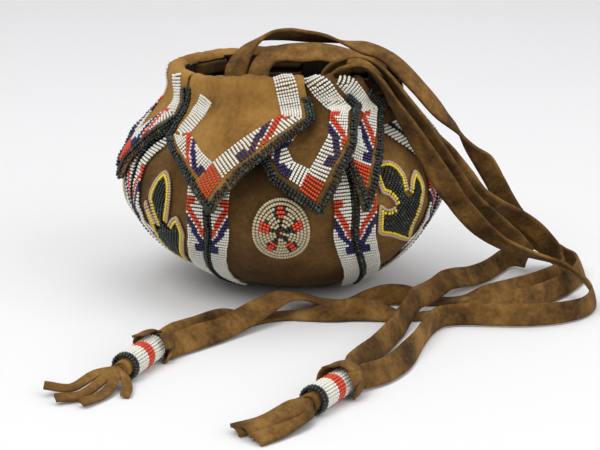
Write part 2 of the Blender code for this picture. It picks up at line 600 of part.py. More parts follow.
def figure_place(k, across, length):
    """Point of a beaded figure on gore k, at a distance across from the gore's middle."""
    centre = gore_centre(k, profile(length)[0].y)
    return place(centre + degrees_of(across, length), length, BEAD_SEAT)


def rosette(k):
    """A round beaded medallion on the middle of a gore."""
    cells = 6
    middle = length_at(ROSETTE_LEVEL)
    gore_width = math.radians(SEAM_AZIMUTHS[(k + 1) % 8] - SEAM_AZIMUTHS[k]) % (2 * math.pi) * BAG_RADIUS
    width = min(ROSETTE_WIDTH, gore_width - 2 * LANE_WIDTH - RIDGE_WIDTH - 2 * ROSETTE_GAP)
    rows = []
    for row in range(cells + 1):
        y = 2 * row / cells - 1
        line = []
        for column in range(cells + 1):
            x = 2 * column / cells - 1
            across = x * math.sqrt(1 - y * y / 2) * width / 2
            along = y * math.sqrt(1 - x * x / 2) * ROSETTE_HEIGHT / 2
            line.append(figure_place(k, across, middle + along))
        rows.append(line)
    return sheet(f"rosette_{k + 1}", rows, BEAD, 1.0, TAN_BEADS)


def leaf(k, outline, mirrored):
    """A three-lobed beaded leaf, cut from its outline and laid on the gore."""
    bm = bmesh.new()
    room = (gore_centre(k, BELLY_HEIGHT) - seam_azimuth(k, BELLY_HEIGHT)) * math.radians(2.0) * BAG_RADIUS
    fit = (room - 2 * LANE_WIDTH - RIDGE_WIDTH) / LEAF_ROOM * (-1 if mirrored else 1)
    corners = [bm.verts.new((fit * x, y, 0.0)) for x, y in outline]
    bm.faces.new(corners)
    bm.normal_update()
    bmesh.ops.triangulate(bm, faces=bm.faces[:])
    for axis in (0, 1):
        values = [vert.co[axis] for vert in bm.verts]
        level = min(values) + 0.55 * LEAF_GRID
        while level < max(values) - LEAF_GRID / 4:
            normal = Vector((1, 0, 0)) if axis == 0 else Vector((0, 1, 0))
            geometry = bm.verts[:] + bm.edges[:] + bm.faces[:]
            bmesh.ops.bisect_plane(bm, geom=geometry, dist=1e-6, plane_co=normal * level, plane_no=normal)
            level += LEAF_GRID
    for vert in bm.verts:
        vert.co = figure_place(k, vert.co.x, vert.co.y)
    bm.normal_update()
    outward = 0.0
    for face in bm.faces:
        middle = face.calc_center_median()
        outward += face.calc_area() * face.normal.dot(Vector((middle.x, middle.y, 0.0)))
    if outward < 0:
        bmesh.ops.reverse_faces(bm, faces=bm.faces[:])
    mesh = bpy.data.meshes.new(f"leaf_{k + 1}")
    bm.to_mesh(mesh)
    bm.free()
    made = finished(f"leaf_{k + 1}", mesh, DARK_BEADS)
    add_wall(made, BEAD, 1.0, even=False)
    return made


def woven_thong(name, slit_low, start_gore, start_share):
    """A thong through one row of slits: inside the middle of each gore, and outside across each seam."""
    middle = (length_at(slit_low) + length_at(slit_low + SLIT_HEIGHT)) / 2
    outside = WOVEN_CLEARANCE + WOVEN_THICKNESS / 2
    inside = -HIDE - outside
    through = degrees_of(SLIT_OPENING * 0.3, middle)
    stops = []
    for k in range(start_gore, start_gore + 9):
        left = seam_azimuth(k, NECK_HEIGHT)
        right = seam_azimuth(k + 1, NECK_HEIGHT)
        width = right - left
        begin = left + width * start_share
        if k == start_gore:
            stops.append((begin + 2.0, inside))
        else:
            first_slit = left + width / 4
            stops += [(left, outside), (first_slit - through, outside), (first_slit + through, inside)]
        if k == start_gore + 8:
            stops.append((begin - 2.0, inside))
            break
        second_slit = left + width * 3 / 4
        if k > start_gore:
            stops.append((left + width / 2, inside))
        stops += [(second_slit - through, inside), (second_slit + through, outside)]
    rows = []
    for azimuth, lift in stops:
        _, normal, tangent = profile(middle)
        angle = math.radians(azimuth)
        radial = Vector((math.sin(angle), -math.cos(angle), 0.0))
        along = (radial * tangent.x + Vector((0, 0, tangent.y))) * (WOVEN_WIDTH / 2)
        spot = place(azimuth, middle, lift)
        rows.append([spot - along, spot + along])
    return sheet(name, rows, WOVEN_THICKNESS, 0.0, THONG_MATERIAL)


def thong_rows(route, width, steps):
    """Edge points of a flat thong along its route. The lean turns its width up from level."""
    centres = spline([Vector(point[:3]) for point in route], steps)
    leans = spline([Vector((point[3], 0.0, 0.0)) for point in route], steps)
    rows = []
    for index, centre in enumerate(centres):
        ahead = centres[min(index + 1, len(centres) - 1)]
        behind = centres[max(index - 1, 0)]
        tangent = (ahead - behind).normalized()
        side = tangent.cross(Vector((0, 0, 1))).normalized()
        up = side.cross(tangent)
        lean = math.radians(leans[index].x)
        half = (side * math.cos(lean) + up * math.sin(lean)) * (width / 2)
        rows.append([centre - half, centre + half])
    return rows


def thong(name, route):
    return sheet(name, thong_rows(route, THONG_WIDTH, 2), THONG_THICKNESS, 0.0, THONG_MATERIAL)


def turned_to(made, start, end):
    """Lays a piece that was made along Z between two points."""
    axis = end - start
    spin = axis.to_track_quat("Z", "Y").to_matrix().to_4x4()
    made.matrix_world = Matrix.Translation((start + end) / 2) @ spin


def rod(name, radius, length, sides, capped):
    bm = bmesh.new()
    bmesh.ops.create_cone(
        bm, cap_ends=capped, segments=sides, radius1=radius, radius2=radius, depth=length
    )
    mesh = bpy.data.meshes.new(name)
    bm.to_mesh(mesh)
    bm.free()
    return mesh


def bead_tube(name, tassel):
    """Rings of beads wrapped round the tassel's hide."""
    made = finished(name, rod(name, TUBE_RADIUS, TUBE_LENGTH, 16, False), WHITE_BEADS)
    start = Vector((*tassel["inner"], TUBE_RADIUS + PIECE_GAP))
    end = Vector((*tassel["outer"], TUBE_RADIUS + PIECE_GAP))
    middle = (start + end) / 2
    reach = (end - start).normalized() * (TUBE_LENGTH / 2)
    turned_to(made, middle - reach, middle + reach)
    add_wall(made, BEAD, -1.0)
    return made


def helper(made):
    """Takes a piece out of the model, to be joined into another one."""
    parts.objects.unlink(made)
    cutters.objects.link(made)
    made.hide_render = True
    made.display_type = "WIRE"
    return made


def tassel_hide(name, tassel, strips):
    """The rolled hide inside the bead tube, with the strips that spread from its end."""
    core_radius = TUBE_RADIUS - BEAD - TUBE_CLEARANCE
    made = finished(name, rod(name, core_radius, TUBE_LENGTH + 0.006, 12, True), THONG_MATERIAL)
    start = Vector((*tassel["inner"], TUBE_RADIUS + PIECE_GAP))
    end = Vector((*tassel["outer"], TUBE_RADIUS + PIECE_GAP))
    middle = (start + end) / 2
    reach = (end - start).normalized() * (TUBE_LENGTH / 2 + 0.003)
    turned_to(made, middle - reach, middle + reach)
    root = middle + reach * 0.8
    for number, strip in enumerate(strips):
        route = [(*root, 35), (*(middle + reach * 1.15), 35), *[(*point, 20) for point in strip]]
        rows = thong_rows(route, STRIP_WIDTH, 2)
        cut = helper(sheet(f"{name}_strip_{number + 1}", rows, STRIP_THICKNESS, 0.0, THONG_MATERIAL))
        join = made.modifiers.new(f"strip {number + 1}", "BOOLEAN")
        join.operation = "UNION"
        join.object = cut
    return made


for k in range(8):
    gore(k)
    seam_beadwork(k)
    flap_border(k)
    flap_edging(k)

for k in (1, 3, 5, 7):
    rosette(k)

leaf(0, LEAF_UPRIGHT, False)
leaf(2, LEAF_LEANING, False)
leaf(4, LEAF_LEANING, True)
leaf(6, LEAF_UPRIGHT, True)

woven_thong("drawstring_left", SLIT_LOW_HIGH, 0, 0.5)
woven_thong("drawstring_right", SLIT_LOW_LOW, 2, 0.5)

thong("thong_end_a", ROUTE_A)
thong("thong_end_b", ROUTE_B)
thong("thong_end_c", ROUTE_C)
thong("thong_end_d", ROUTE_D)

bead_tube("tassel_beads_left", TASSEL_LEFT)
bead_tube("tassel_beads_right", TASSEL_RIGHT)
tassel_hide("tassel_hide_left", TASSEL_LEFT, FRINGE_LEFT)
tassel_hide("tassel_hide_right", TASSEL_RIGHT, FRINGE_RIGHT)
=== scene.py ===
import math

import bpy
import numpy as np
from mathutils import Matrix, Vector


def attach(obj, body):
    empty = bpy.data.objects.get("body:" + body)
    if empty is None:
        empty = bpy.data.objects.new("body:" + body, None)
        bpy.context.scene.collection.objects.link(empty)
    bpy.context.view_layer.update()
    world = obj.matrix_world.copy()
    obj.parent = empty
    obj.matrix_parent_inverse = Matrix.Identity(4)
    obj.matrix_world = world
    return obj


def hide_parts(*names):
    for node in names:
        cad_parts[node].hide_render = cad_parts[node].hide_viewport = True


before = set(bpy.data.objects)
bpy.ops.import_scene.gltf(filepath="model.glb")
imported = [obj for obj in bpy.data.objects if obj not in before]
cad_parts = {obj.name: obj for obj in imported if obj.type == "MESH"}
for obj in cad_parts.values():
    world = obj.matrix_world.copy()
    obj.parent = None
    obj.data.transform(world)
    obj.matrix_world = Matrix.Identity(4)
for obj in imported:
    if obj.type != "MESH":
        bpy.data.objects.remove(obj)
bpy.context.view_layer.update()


# Camera. It looks slightly down on the bag from the front, from 0.8 m away.
CAMERA_TARGET = Vector((0.0075, 0.0, 0.0273))
CAMERA_DISTANCE = 0.80
CAMERA_ELEVATION = math.radians(15.0)
CAMERA_LENS = 96.0
SENSOR_WIDTH = 36.0

camera_data = bpy.data.cameras.new("camera")
camera_data.lens = CAMERA_LENS
camera_data.sensor_width = SENSOR_WIDTH
camera = bpy.data.objects.new("camera", camera_data)
bpy.context.scene.collection.objects.link(camera)
camera_back = Vector((0.0, -math.cos(CAMERA_ELEVATION), math.sin(CAMERA_ELEVATION)))
camera.location = CAMERA_TARGET + camera_back * CAMERA_DISTANCE
camera.rotation_euler = (-camera_back).to_track_quat("-Z", "Y").to_euler()
bpy.context.scene.camera = camera
bpy.context.scene.view_settings.view_transform = "Standard"


# Hide. Smoked, brain-tanned deerskin: a soft nap with darker handled patches, and a paler golden inner face.
HIDE_SHADER = {"Roughness": 0.93, "Specular IOR Level": 0.12, "Sheen Weight": 0.02, "Sheen Roughness": 0.6}
TONE_STOPS = (0.30, 0.50, 0.72)
MOTTLE_SCALE = 420.0
MOTTLE_SHARE = 0.42
NAP_SCALE = 2600.0
NAP_STRENGTH = 0.35
NAP_HEIGHT = 0.0006
THONG_PATCH = 0.018
HIDE_TONES = {
    "outer hide": ((0.055, 0.028, 0.008), (0.105, 0.053, 0.015), (0.180, 0.095, 0.028)),
    # A lighter copy of the outer hide for the gores on the right: painted light, where more light falls on
    # that side.
    "outer hide with painted light": ((0.090, 0.045, 0.012), (0.175, 0.090, 0.023), (0.280, 0.150, 0.040)),
    # A near-black copy of the hide for the inner face of the gores and the cut edges of their slits: painted
    # shade inside the bag, where the hide's own inner face is the paler golden side.
    "hide inside the bag darkened as painted shade": ((0.007, 0.005, 0.003), (0.013, 0.008, 0.004), (0.026, 0.016, 0.007)),
    "handled hide at the neck": ((0.070, 0.034, 0.009), (0.135, 0.068, 0.017), (0.220, 0.115, 0.030)),
    # A darker copy of the flap hide, for the flaps that lie in deep shade: painted shade.
    "flap hide darkened as painted shade": ((0.060, 0.029, 0.008), (0.120, 0.060, 0.015), (0.225, 0.118, 0.030)),
    "flap hide": ((0.170, 0.082, 0.019), (0.285, 0.146, 0.034), (0.380, 0.205, 0.052)),
    # A darker copy of the thong hide for the drawstrings woven round the neck: painted shade.
    "woven thong hide with painted shade": ((0.026, 0.013, 0.005), (0.066, 0.033, 0.010), (0.125, 0.066, 0.019), THONG_PATCH),
    "thong hide": ((0.050, 0.025, 0.008), (0.145, 0.072, 0.019), (0.285, 0.150, 0.042), THONG_PATCH),
}


def hide_material(name, dark, middle, light, patch_size=0.030):
    """Suede with broad patches, fine mottling and a short nap."""
    made = bpy.data.materials.new(name)
    made.use_nodes = True
    nodes = made.node_tree.nodes
    links = made.node_tree.links
    shader = nodes["Principled BSDF"]
    for socket, value in HIDE_SHADER.items():
        shader.inputs[socket].default_value = value
    place = nodes.new("ShaderNodeTexCoord")

    def noise(scale, detail, rough):
        node = nodes.new("ShaderNodeTexNoise")
        for socket, value in (("Scale", scale), ("Detail", detail), ("Roughness", rough)):
            node.inputs[socket].default_value = value
        links.new(place.outputs["Object"], node.inputs["Vector"])
        return node.outputs["Fac"]

    def combined(operation, *terms):
        node = nodes.new("ShaderNodeMath")
        node.operation = operation
        for socket, term in zip(node.inputs, terms):
            if isinstance(term, float):
                socket.default_value = term
            else:
                links.new(term, socket)
        return node.outputs[0]

    patches = noise(1.0 / patch_size, 3.0, 0.55)
    mottle = noise(MOTTLE_SCALE, 3.0, 0.65)
    nap = noise(NAP_SCALE, 2.0, 0.6)
    tone = combined("SUBTRACT", combined("MULTIPLY_ADD", mottle, MOTTLE_SHARE, patches), MOTTLE_SHARE / 2)
    ramp = nodes.new("ShaderNodeValToRGB")
    ramp.color_ramp.elements.new(TONE_STOPS[1])
    for stop, position, colour in zip(ramp.color_ramp.elements, TONE_STOPS, (dark, middle, light)):
        stop.position = position
        stop.color = (*colour, 1.0)
    links.new(tone, ramp.inputs["Fac"])
    links.new(ramp.outputs["Color"], shader.inputs["Base Color"])
    bump = nodes.new("ShaderNodeBump")
    bump.inputs["Strength"].default_value = NAP_STRENGTH
    bump.inputs["Distance"].default_value = NAP_HEIGHT
    links.new(combined("ADD", mottle, nap), bump.inputs["Height"])
    links.new(bump.outputs["Normal"], shader.inputs["Normal"])
    return made


hides = {name: hide_material(name, *tones) for name, tones in HIDE_TONES.items()}


def grid_sheet(name, points, thickness, offset, materials, holes=None, skins=None):
    """A grid primitive shaped to rows of points, with a wall. Holes is a mask of grid cells to leave out.

    Skins gives each row of points its material on the laid side. The next material is on the other side.
    """
    rows, columns = points.shape[:2]
    bpy.ops.object.select_all(action="DESELECT")
    bpy.ops.mesh.primitive_grid_add(x_subdivisions=columns - 1, y_subdivisions=rows - 1, size=2.0)
    made = bpy.context.object
    made.name = name
    made.data.name = name
    flat = np.empty(len(made.data.vertices) * 3)
    made.data.vertices.foreach_get("co", flat)
    flat = flat.reshape(-1, 3)
    column = np.rint((flat[:, 0] + 1) / 2 * (columns - 1)).astype(int)
    row = np.rint((flat[:, 1] + 1) / 2 * (rows - 1)).astype(int)
    made.data.vertices.foreach_set("co", points[row, column].astype(np.float32).ravel())
    made.data.update()
    if holes is not None:
        bpy.ops.object.mode_set(mode="EDIT")
        bpy.ops.mesh.select_all(action="DESELECT")
        bpy.ops.object.mode_set(mode="OBJECT")
        for face in made.data.polygons:
            corners = list(face.vertices)
            face.select = bool(holes[row[corners].min(), column[corners].min()])
        bpy.ops.object.mode_set(mode="EDIT")
        bpy.ops.mesh.delete(type="FACE")
        bpy.ops.object.mode_set(mode="OBJECT")
    for material in materials:
        made.data.materials.append(material)
    if skins is not None:
        for face in made.data.polygons:
            face.material_index = int(skins[row[list(face.vertices)].min()])
    wall = made.modifiers.new("wall", "SOLIDIFY")
    wall.thickness = thickness
    wall.offset = offset
    wall.use_even_offset = False
    wall.material_offset = 0 if skins is None else 1
    wall.material_offset_rim = wall.material_offset
    bpy.ops.object.modifier_apply(modifier="wall")
    made.data.shade_smooth()
    bpy.ops.object.select_all(action="DESELECT")
    return made


def unit(vectors):
    """One vector, or rows of vectors, of length one."""
    if vectors.ndim == 1:
        return vectors / np.linalg.norm(vectors)
    return vectors / np.linalg.norm(vectors, axis=1)[:, None]


def at_distance(line, travelled, distance):
    """Places on a line of two-part points, by how far along it they are."""
    return np.stack([np.interp(distance, travelled, line[:, i]) for i in (0, 1)], axis=-1)


def travel(line):
    """How far along a line each of its points is."""
    return np.concatenate(([0.0], np.cumsum(np.linalg.norm(np.diff(line, axis=0), axis=1))))


def smooth_path(points, steps):
    """Rows of values on a smooth curve through the given rows."""
    known = np.array(points, float)
    known = np.vstack((2 * known[0] - known[1], known, 2 * known[-1] - known[-2]))
    found = []
    for before, start, end, after in zip(known, known[1:], known[2:], known[3:]):
        t = (np.arange(steps) / steps)[:, None]
        cubic = 3 * start - before - 3 * end + after
        square = 2 * before - 5 * start + 4 * end - after
        found.append(0.5 * (2 * start + (end - before) * t + square * t**2 + cubic * t**3))
    return np.vstack(found + [known[-2:-1]])


# Free thong ends. Four flat strips of the same hide come out of the mouth, arch over the right side to the
# floor and run to the tassels, two to each. The photograph shows nearly all of them.
THONG_WIDTH = 0.0105
THONG_THICKNESS = 0.0015
FLOOR_GAP = 0.0001
CUT_WAVER = 0.05
WAVER_ROWS = 6

ROUTE_A = (
    (-0.0225, -0.0355, 0.107, 0), (-0.0215, -0.032, 0.1134, 0), (-0.017, -0.026, 0.1202, 10),
    (-0.0095, -0.019, 0.1246, 25), (0.0004, -0.014, 0.125, 35), (0.0099, -0.012, 0.124, 35),
    (0.0199, -0.012, 0.1228, 25), (0.0304, -0.013, 0.1205, 0), (0.0379, -0.0145, 0.1185, -20),
    (0.0469, -0.0165, 0.116, -18), (0.055, -0.0185, 0.1098, -24), (0.0646, -0.02, 0.0998, -32),
    (0.0745, -0.02, 0.0885, -36), (0.0825, -0.017, 0.0802, -25), (0.0903, -0.013, 0.0705, 0),
    (0.0967, -0.008, 0.0626, 25), (0.1034, -0.002, 0.0516, 40), (0.1098, 0.004, 0.0397, 48),
    (0.1158, 0.009, 0.0297, 52), (0.1237, 0.014, 0.0203, 56), (0.1326, 0.0175, 0.012, 62),
    (0.142, 0.016, 0.007, 68), (0.1482, 0.008, 0.0056, 70), (0.1485, -0.004, 0.0055, 68),
    (0.1435, -0.017, 0.0053, 62), (0.1345, -0.031, 0.0052, 60), (0.1235, -0.044, 0.0052, 60),
    (0.112, -0.0535, 0.0053, 62), (0.1, -0.0595, 0.0052, 60), (0.088, -0.0625, 0.004, 35),
    (0.077, -0.064, 0.002, 8), (0.066, -0.0655, 0.0012, 0), (0.055, -0.067, 0.0016, 6),
    (0.045, -0.068, 0.004, 40), (0.034, -0.069, 0.0054, 64), (0.022, -0.069, 0.0044, 42),
    (0.011, -0.0665, 0.0022, 14), (0.001, -0.0655, 0.0014, 2), (-0.009, -0.069, 0.0016, 6),
    (-0.019, -0.0755, 0.0032, 26), (-0.029, -0.084, 0.0053, 60), (-0.039, -0.095, 0.0054, 62),
    (-0.047, -0.105, 0.0054, 58), (-0.0509, -0.1122, 0.0058, 50), (-0.0531, -0.1178, 0.0061, 48),
)
ROUTE_B = (
    (-0.0125, -0.0425, 0.107, 0), (-0.0112, -0.0392, 0.1124, 0), (-0.008, -0.034, 0.116, -10),
    (-0.0019, -0.029, 0.118, -30), (0.0075, -0.026, 0.1182, -42), (0.0169, -0.0255, 0.118, -42),
    (0.0273, -0.0255, 0.1165, -36), (0.0358, -0.0265, 0.114, -20), (0.0433, -0.0275, 0.1096, -12),
    (0.0509, -0.0265, 0.1025, 0), (0.0585, -0.027, 0.0935, 15), (0.0662, -0.0275, 0.084, 28),
    (0.0735, -0.0275, 0.0745, 38), (0.08, -0.0245, 0.066, 45), (0.0866, -0.0205, 0.0567, 45),
    (0.0941, -0.0155, 0.047, 45), (0.1035, -0.009, 0.039, 48), (0.1137, -0.003, 0.033, 50),
    (0.1237, 0.002, 0.0256, 55), (0.1315, 0.005, 0.017, 62), (0.1375, 0.0055, 0.009, 68),
    (0.141, 0.0, 0.0062, 70), (0.1385, -0.0085, 0.0055, 68), (0.131, -0.018, 0.0053, 62),
    (0.12, -0.028, 0.0052, 60), (0.108, -0.036, 0.005, 55), (0.097, -0.04, 0.0034, 30),
    (0.087, -0.042, 0.0014, 4), (0.077, -0.043, 0.0012, 0), (0.067, -0.0435, 0.002, 12),
    (0.058, -0.044, 0.0045, 48), (0.049, -0.045, 0.005, 56), (0.04, -0.047, 0.0035, 30),
    (0.03, -0.049, 0.0016, 5), (0.019, -0.051, 0.003, 2), (0.009, -0.055, 0.0072, 5),
    (0.0, -0.063, 0.01, 10), (-0.008, -0.0735, 0.0092, 25), (-0.018, -0.086, 0.0068, 46),
    (-0.0275, -0.0975, 0.0052, 54), (-0.037, -0.1075, 0.0052, 56), (-0.045, -0.1165, 0.0054, 60),
    (-0.0495, -0.1225, 0.0056, 66),
)
ROUTE_C = (
    (0.0215, -0.0345, 0.1065, 18), (0.0235, -0.0365, 0.112, 18), (0.0275, -0.0385, 0.1168, 10),
    (0.0335, -0.0385, 0.1185, 8), (0.0395, -0.038, 0.1168, 8), (0.045, -0.0378, 0.1128, 12),
    (0.05, -0.0378, 0.107, 18), (0.056, -0.0378, 0.0985, 25), (0.0625, -0.0375, 0.089, 32),
    (0.069, -0.0365, 0.0785, 38), (0.0755, -0.0345, 0.0675, 42), (0.0815, -0.0315, 0.0575, 45),
    (0.088, -0.0265, 0.048, 45), (0.0965, -0.0205, 0.039, 46), (0.105, -0.0145, 0.0305, 48),
    (0.1125, -0.0085, 0.0225, 50), (0.118, -0.0025, 0.0155, 54), (0.1222, 0.0045, 0.01, 60),
    (0.123, 0.0125, 0.0066, 68), (0.1185, 0.018, 0.0058, 74), (0.113, 0.0155, 0.0056, 68),
    (0.108, 0.008, 0.0052, 58), (0.1005, -0.005, 0.005, 54), (0.092, -0.016, 0.0056, 52),
    (0.0845, -0.026, 0.0078, 50), (0.078, -0.036, 0.009, 50), (0.072, -0.046, 0.0085, 54),
    (0.0665, -0.056, 0.009, 62), (0.061, -0.067, 0.01, 68), (0.056, -0.08, 0.0078, 68),
    (0.051, -0.0935, 0.0055, 66), (0.046, -0.107, 0.0053, 62), (0.041, -0.12, 0.0053, 58),
    (0.0355, -0.133, 0.0054, 58), (0.0305, -0.145, 0.0056, 60), (0.0288, -0.1566, 0.006, 62),
)
ROUTE_D = (
    (0.024, -0.038, 0.1065, 18), (0.0262, -0.0402, 0.1105, 18), (0.03, -0.042, 0.1143, 10),
    (0.0352, -0.042, 0.115, 8), (0.0405, -0.0415, 0.1118, 10), (0.046, -0.0415, 0.1052, 18),
    (0.051, -0.042, 0.0975, 28), (0.0565, -0.0425, 0.089, 38), (0.0625, -0.0425, 0.0795, 42),
    (0.069, -0.0415, 0.069, 44), (0.0755, -0.039, 0.0585, 45), (0.082, -0.035, 0.0485, 45),
    (0.0885, -0.031, 0.04, 44), (0.0957, -0.0275, 0.0325, 42), (0.1038, -0.025, 0.026, 40),
    (0.1129, -0.024, 0.0215, 35), (0.1215, -0.024, 0.0185, 28), (0.13, -0.0255, 0.0165, 25),
    (0.138, -0.0295, 0.014, 32), (0.144, -0.037, 0.01, 50), (0.1465, -0.0465, 0.007, 70),
    (0.1445, -0.057, 0.0057, 82), (0.1385, -0.0665, 0.0056, 86), (0.1295, -0.0735, 0.0056, 88),
    (0.119, -0.0775, 0.0056, 88), (0.108, -0.079, 0.0056, 88), (0.097, -0.0785, 0.0056, 88),
    (0.087, -0.0775, 0.0056, 86), (0.0785, -0.0775, 0.0056, 84), (0.0715, -0.081, 0.0056, 84),
    (0.0665, -0.09, 0.0056, 84), (0.0625, -0.102, 0.0056, 84), (0.0585, -0.115, 0.0056, 80),
    (0.054, -0.128, 0.0054, 66), (0.0485, -0.14, 0.0053, 55), (0.0415, -0.151, 0.0055, 60),
    (0.0322, -0.16, 0.006, 72),
)


def strip_points(route, width, columns, steps, seed, cup=0.0004):
    """Rows of points across a flat strip along a route. The route's fourth value leans its width up."""
    chance = np.random.default_rng(seed)
    path = smooth_path(route, steps)
    centres = path[:, :3]
    tangents = unit(np.gradient(centres, axis=0))
    side = unit(np.cross(tangents, (0.0, 0.0, 1.0)))
    up = np.cross(side, tangents)
    lean = np.radians(path[:, 3])[:, None]
    across = side * np.cos(lean) + up * np.sin(lean)
    face = np.cross(tangents, across)
    count = len(centres)
    knots = chance.normal(0.0, 1.0, (3, count // WAVER_ROWS + 2))
    waves = [np.interp(np.arange(count), np.arange(len(k)) * WAVER_ROWS, k) for k in knots]
    rows = []
    for t in np.linspace(-1.0, 1.0, columns):
        edge = 1.0 + CUT_WAVER * (waves[0] if t < 0 else waves[1]) * abs(t) - 0.02
        hollow = cup * (t * t - 0.4) * (0.6 + 0.4 * waves[2])
        rows.append(centres + across * (t * width / 2 * edge)[:, None] + face * hollow[:, None])
    return np.stack(rows, axis=1), centres


thongs = {}
for letter, route in (("a", ROUTE_A), ("b", ROUTE_B), ("c", ROUTE_C), ("d", ROUTE_D)):
    points, centres = strip_points(route, THONG_WIDTH, 7, 6, ord(letter))
    points[:, :, 2] = np.maximum(points[:, :, 2], THONG_THICKNESS / 2 + FLOOR_GAP)
    thong = grid_sheet(f"thong_{letter}", points, THONG_THICKNESS, 0.0, [hides["thong hide"]])
    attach(thong, "root")
    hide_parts(f"thong_end_{letter}")
    thongs[letter] = (thong, centres)


# Gores. Eight pieces of hide, 1.3 mm thick, sewn side by side. Each is cut in one with the flap that folds
# out over its top. Two rows of slits let the drawstrings through, and the hide puckers at the neck and seams.
HIDE = 0.0013
BAG_RADIUS = 0.0760
BELLY_HEIGHT = 0.0520
NECK_RADIUS = 0.0495
NECK_HEIGHT = 0.1058
BASE_RADIUS = 0.0180
GORE_BULGE = 0.0015
STITCHED_GAP = 0.00006
POLE_CLOSED = 0.0003
POLE_SHIFT = (0.0070, 0.0060)
POLE_SHIFT_HEIGHT = 0.0400
SPLAY_HEIGHT = 0.0450
SPLAY_POWER = 1.5
CLIMB_SHARE = 0.36
LOWER_SHARES = ((0.395, 0.050), (0.579, 0.173), (0.757, 0.375), (0.895, 0.606), (0.980, 0.827))
UPPER_SHARES = ((0.094, 0.204), (0.340, 0.390), (0.641, 0.576), (0.849, 0.725), (0.943, 0.855))
SEAM_AZIMUTHS = (-70.0, -26.5, 25.0, 70.0, 110.0, 155.0, 205.0, 250.0)
NECK_SEAMS = (-51.5, 10.0, 24.0, 54.0, 113.5, 159.5, 206.5, 255.5)
SEAM_SPLAYS = (-8.0, -28.0, 28.0, 8.0, 0.0, -6.0, 6.0, 0.0)
SLIT_OPENING = 0.0034
SLIT_HEIGHT = 0.0070
SLIT_BRIDGE = 0.0013
BEAD = 0.0015
BEAD_SEAT = 0.0008
BORDER_SEAT = 0.0013
RIDGE_RISE = 0.0007
FLAP_CLEARANCE = 0.0013
LAYER_SPARE = 0.0018
FLAP_LOW = BEAD_SEAT + BEAD + RIDGE_RISE + FLAP_CLEARANCE
FLAP_HIGH = FLAP_LOW + HIDE + BORDER_SEAT + BEAD + LAYER_SPARE
RIM_ROLL = 0.0015
RIM_ROLL_LENGTH = 0.0120
TIP_WIDTH = 0.0030
EDGE_SHARES = (0.0, 0.35, 0.65, 1.0)
NECK_PUCKER = 0.00030
SEAM_PUCKER = 0.00022
SEAM_PUCKER_PITCH = 0.0095
BROAD_PUCKER = 0.00036
SAG = 0.00016
FLAP_WAVE = 0.00040
FLAP_SLACK = 0.00025
LEAST_DROP = 0.0005
FOLD_RISE = 0.62
FOLD_LENGTH = 0.85
PROFILE_STEPS = 40
GORE_COLUMNS = 27
BODY_ROWS = 66
FOLD_ROWS = 8
FLAP_ROWS = 40
# These flaps keep the golden flap hide. The others take its darker copy, which is painted shade.
PALE_FLAPS = (0, 4, 6, 7)
# Gores 3 and 4 take the lighter copy of the outer hide, as painted light.
PAINTED_LIGHT_GORES = (2, 3)

FLAPS = (
    {"rim": (-50.5, 9.0), "left": (-52.0, 0.0325), "right": (11.5, 0.0205), "tip": (-22.5, 0.0595),
     "lanes": ((-38.5, 0.0080), (1.5, 0.0015)), "climb": (-38.0, -20.0)},
    {"rim": (11.0, 23.0), "left": (-11.0, 0.030), "right": (33.5, 0.011), "tip": (11.4, 0.0595),
     "left_low": (-3.5, 0.0465), "right_low": (26.0, 0.0340),
     "lanes": ((6.5, 0.0170), (16.5, 0.0010)), "climb": (10.0, 19.0)},
    {"rim": (25.0, 41.0), "left": (21.0, 0.034), "right": (53.5, 0.014), "tip": (27.5, 0.0605),
     "lanes": ((30.5, 0.0220), (33.0, 0.0025)), "climb": None},
)
BACK_FLAPS = (
    ((74.0, 112.5), (74.0, 114.0), 92.5, (83.0, 103.0)),
    ((115.0, 158.0), (116.0, 158.5), 137.0, (125.0, 149.0)),
    ((161.0, 205.0), (160.5, 205.5), 183.0, (170.5, 195.5)),
    ((208.0, 254.0), (207.5, 254.0), 231.0, (217.5, 244.5)),
    ((257.0, 306.5), (256.5, 305.5), 281.0, (266.5, 297.0)),
)
BACK_CORNER_DROP = 0.020
LAST_CORNER_DROP = 0.022
BACK_TIP_DROP = 0.058
BACK_LANE_DROP = 0.002

for rim, corners, tip, lanes in BACK_FLAPS:
    right_drop = LAST_CORNER_DROP if tip == BACK_FLAPS[-1][2] else BACK_CORNER_DROP
    FLAPS += (
        {"rim": rim, "left": (corners[0], BACK_CORNER_DROP), "right": (corners[1], right_drop), "climb": None,
         "tip": (tip, BACK_TIP_DROP), "lanes": [(azimuth, BACK_LANE_DROP) for azimuth in lanes]},
    )

fall = BAG_RADIUS - NECK_RADIUS
rise = NECK_HEIGHT - BELLY_HEIGHT
profile_knots = [(0.0, 0.0), (BASE_RADIUS, 0.0)]
profile_knots += [(BAG_RADIUS * r, BELLY_HEIGHT * z) for r, z in LOWER_SHARES]
profile_knots += [(BAG_RADIUS, BELLY_HEIGHT)]
profile_knots += [(BAG_RADIUS - fall * r, BELLY_HEIGHT + rise * z) for r, z in UPPER_SHARES]
profile_knots += [(NECK_RADIUS, NECK_HEIGHT)]
profile = smooth_path(profile_knots, PROFILE_STEPS)
profile_lengths = travel(profile)
NECK_LENGTH = profile_lengths[-1]
profile_slopes = unit(np.gradient(profile, profile_lengths, axis=0))


def along_profile(length):
    """Radius, height and slope (in radius, in height) of the hide's outer face at a length from its pole."""
    return [np.interp(length, profile_lengths, values) for values in (*profile.T, *profile_slopes.T)]


def length_at(height):
    """Length from the pole to a height, on the part of the profile above the flat underside."""
    start = 2 * PROFILE_STEPS
    return np.interp(height, profile[start:, 1], profile_lengths[start:])


def eased(value):
    """A soft step from 0 to 1."""
    t = np.clip(value, 0.0, 1.0)
    return t * t * (3 - 2 * t)


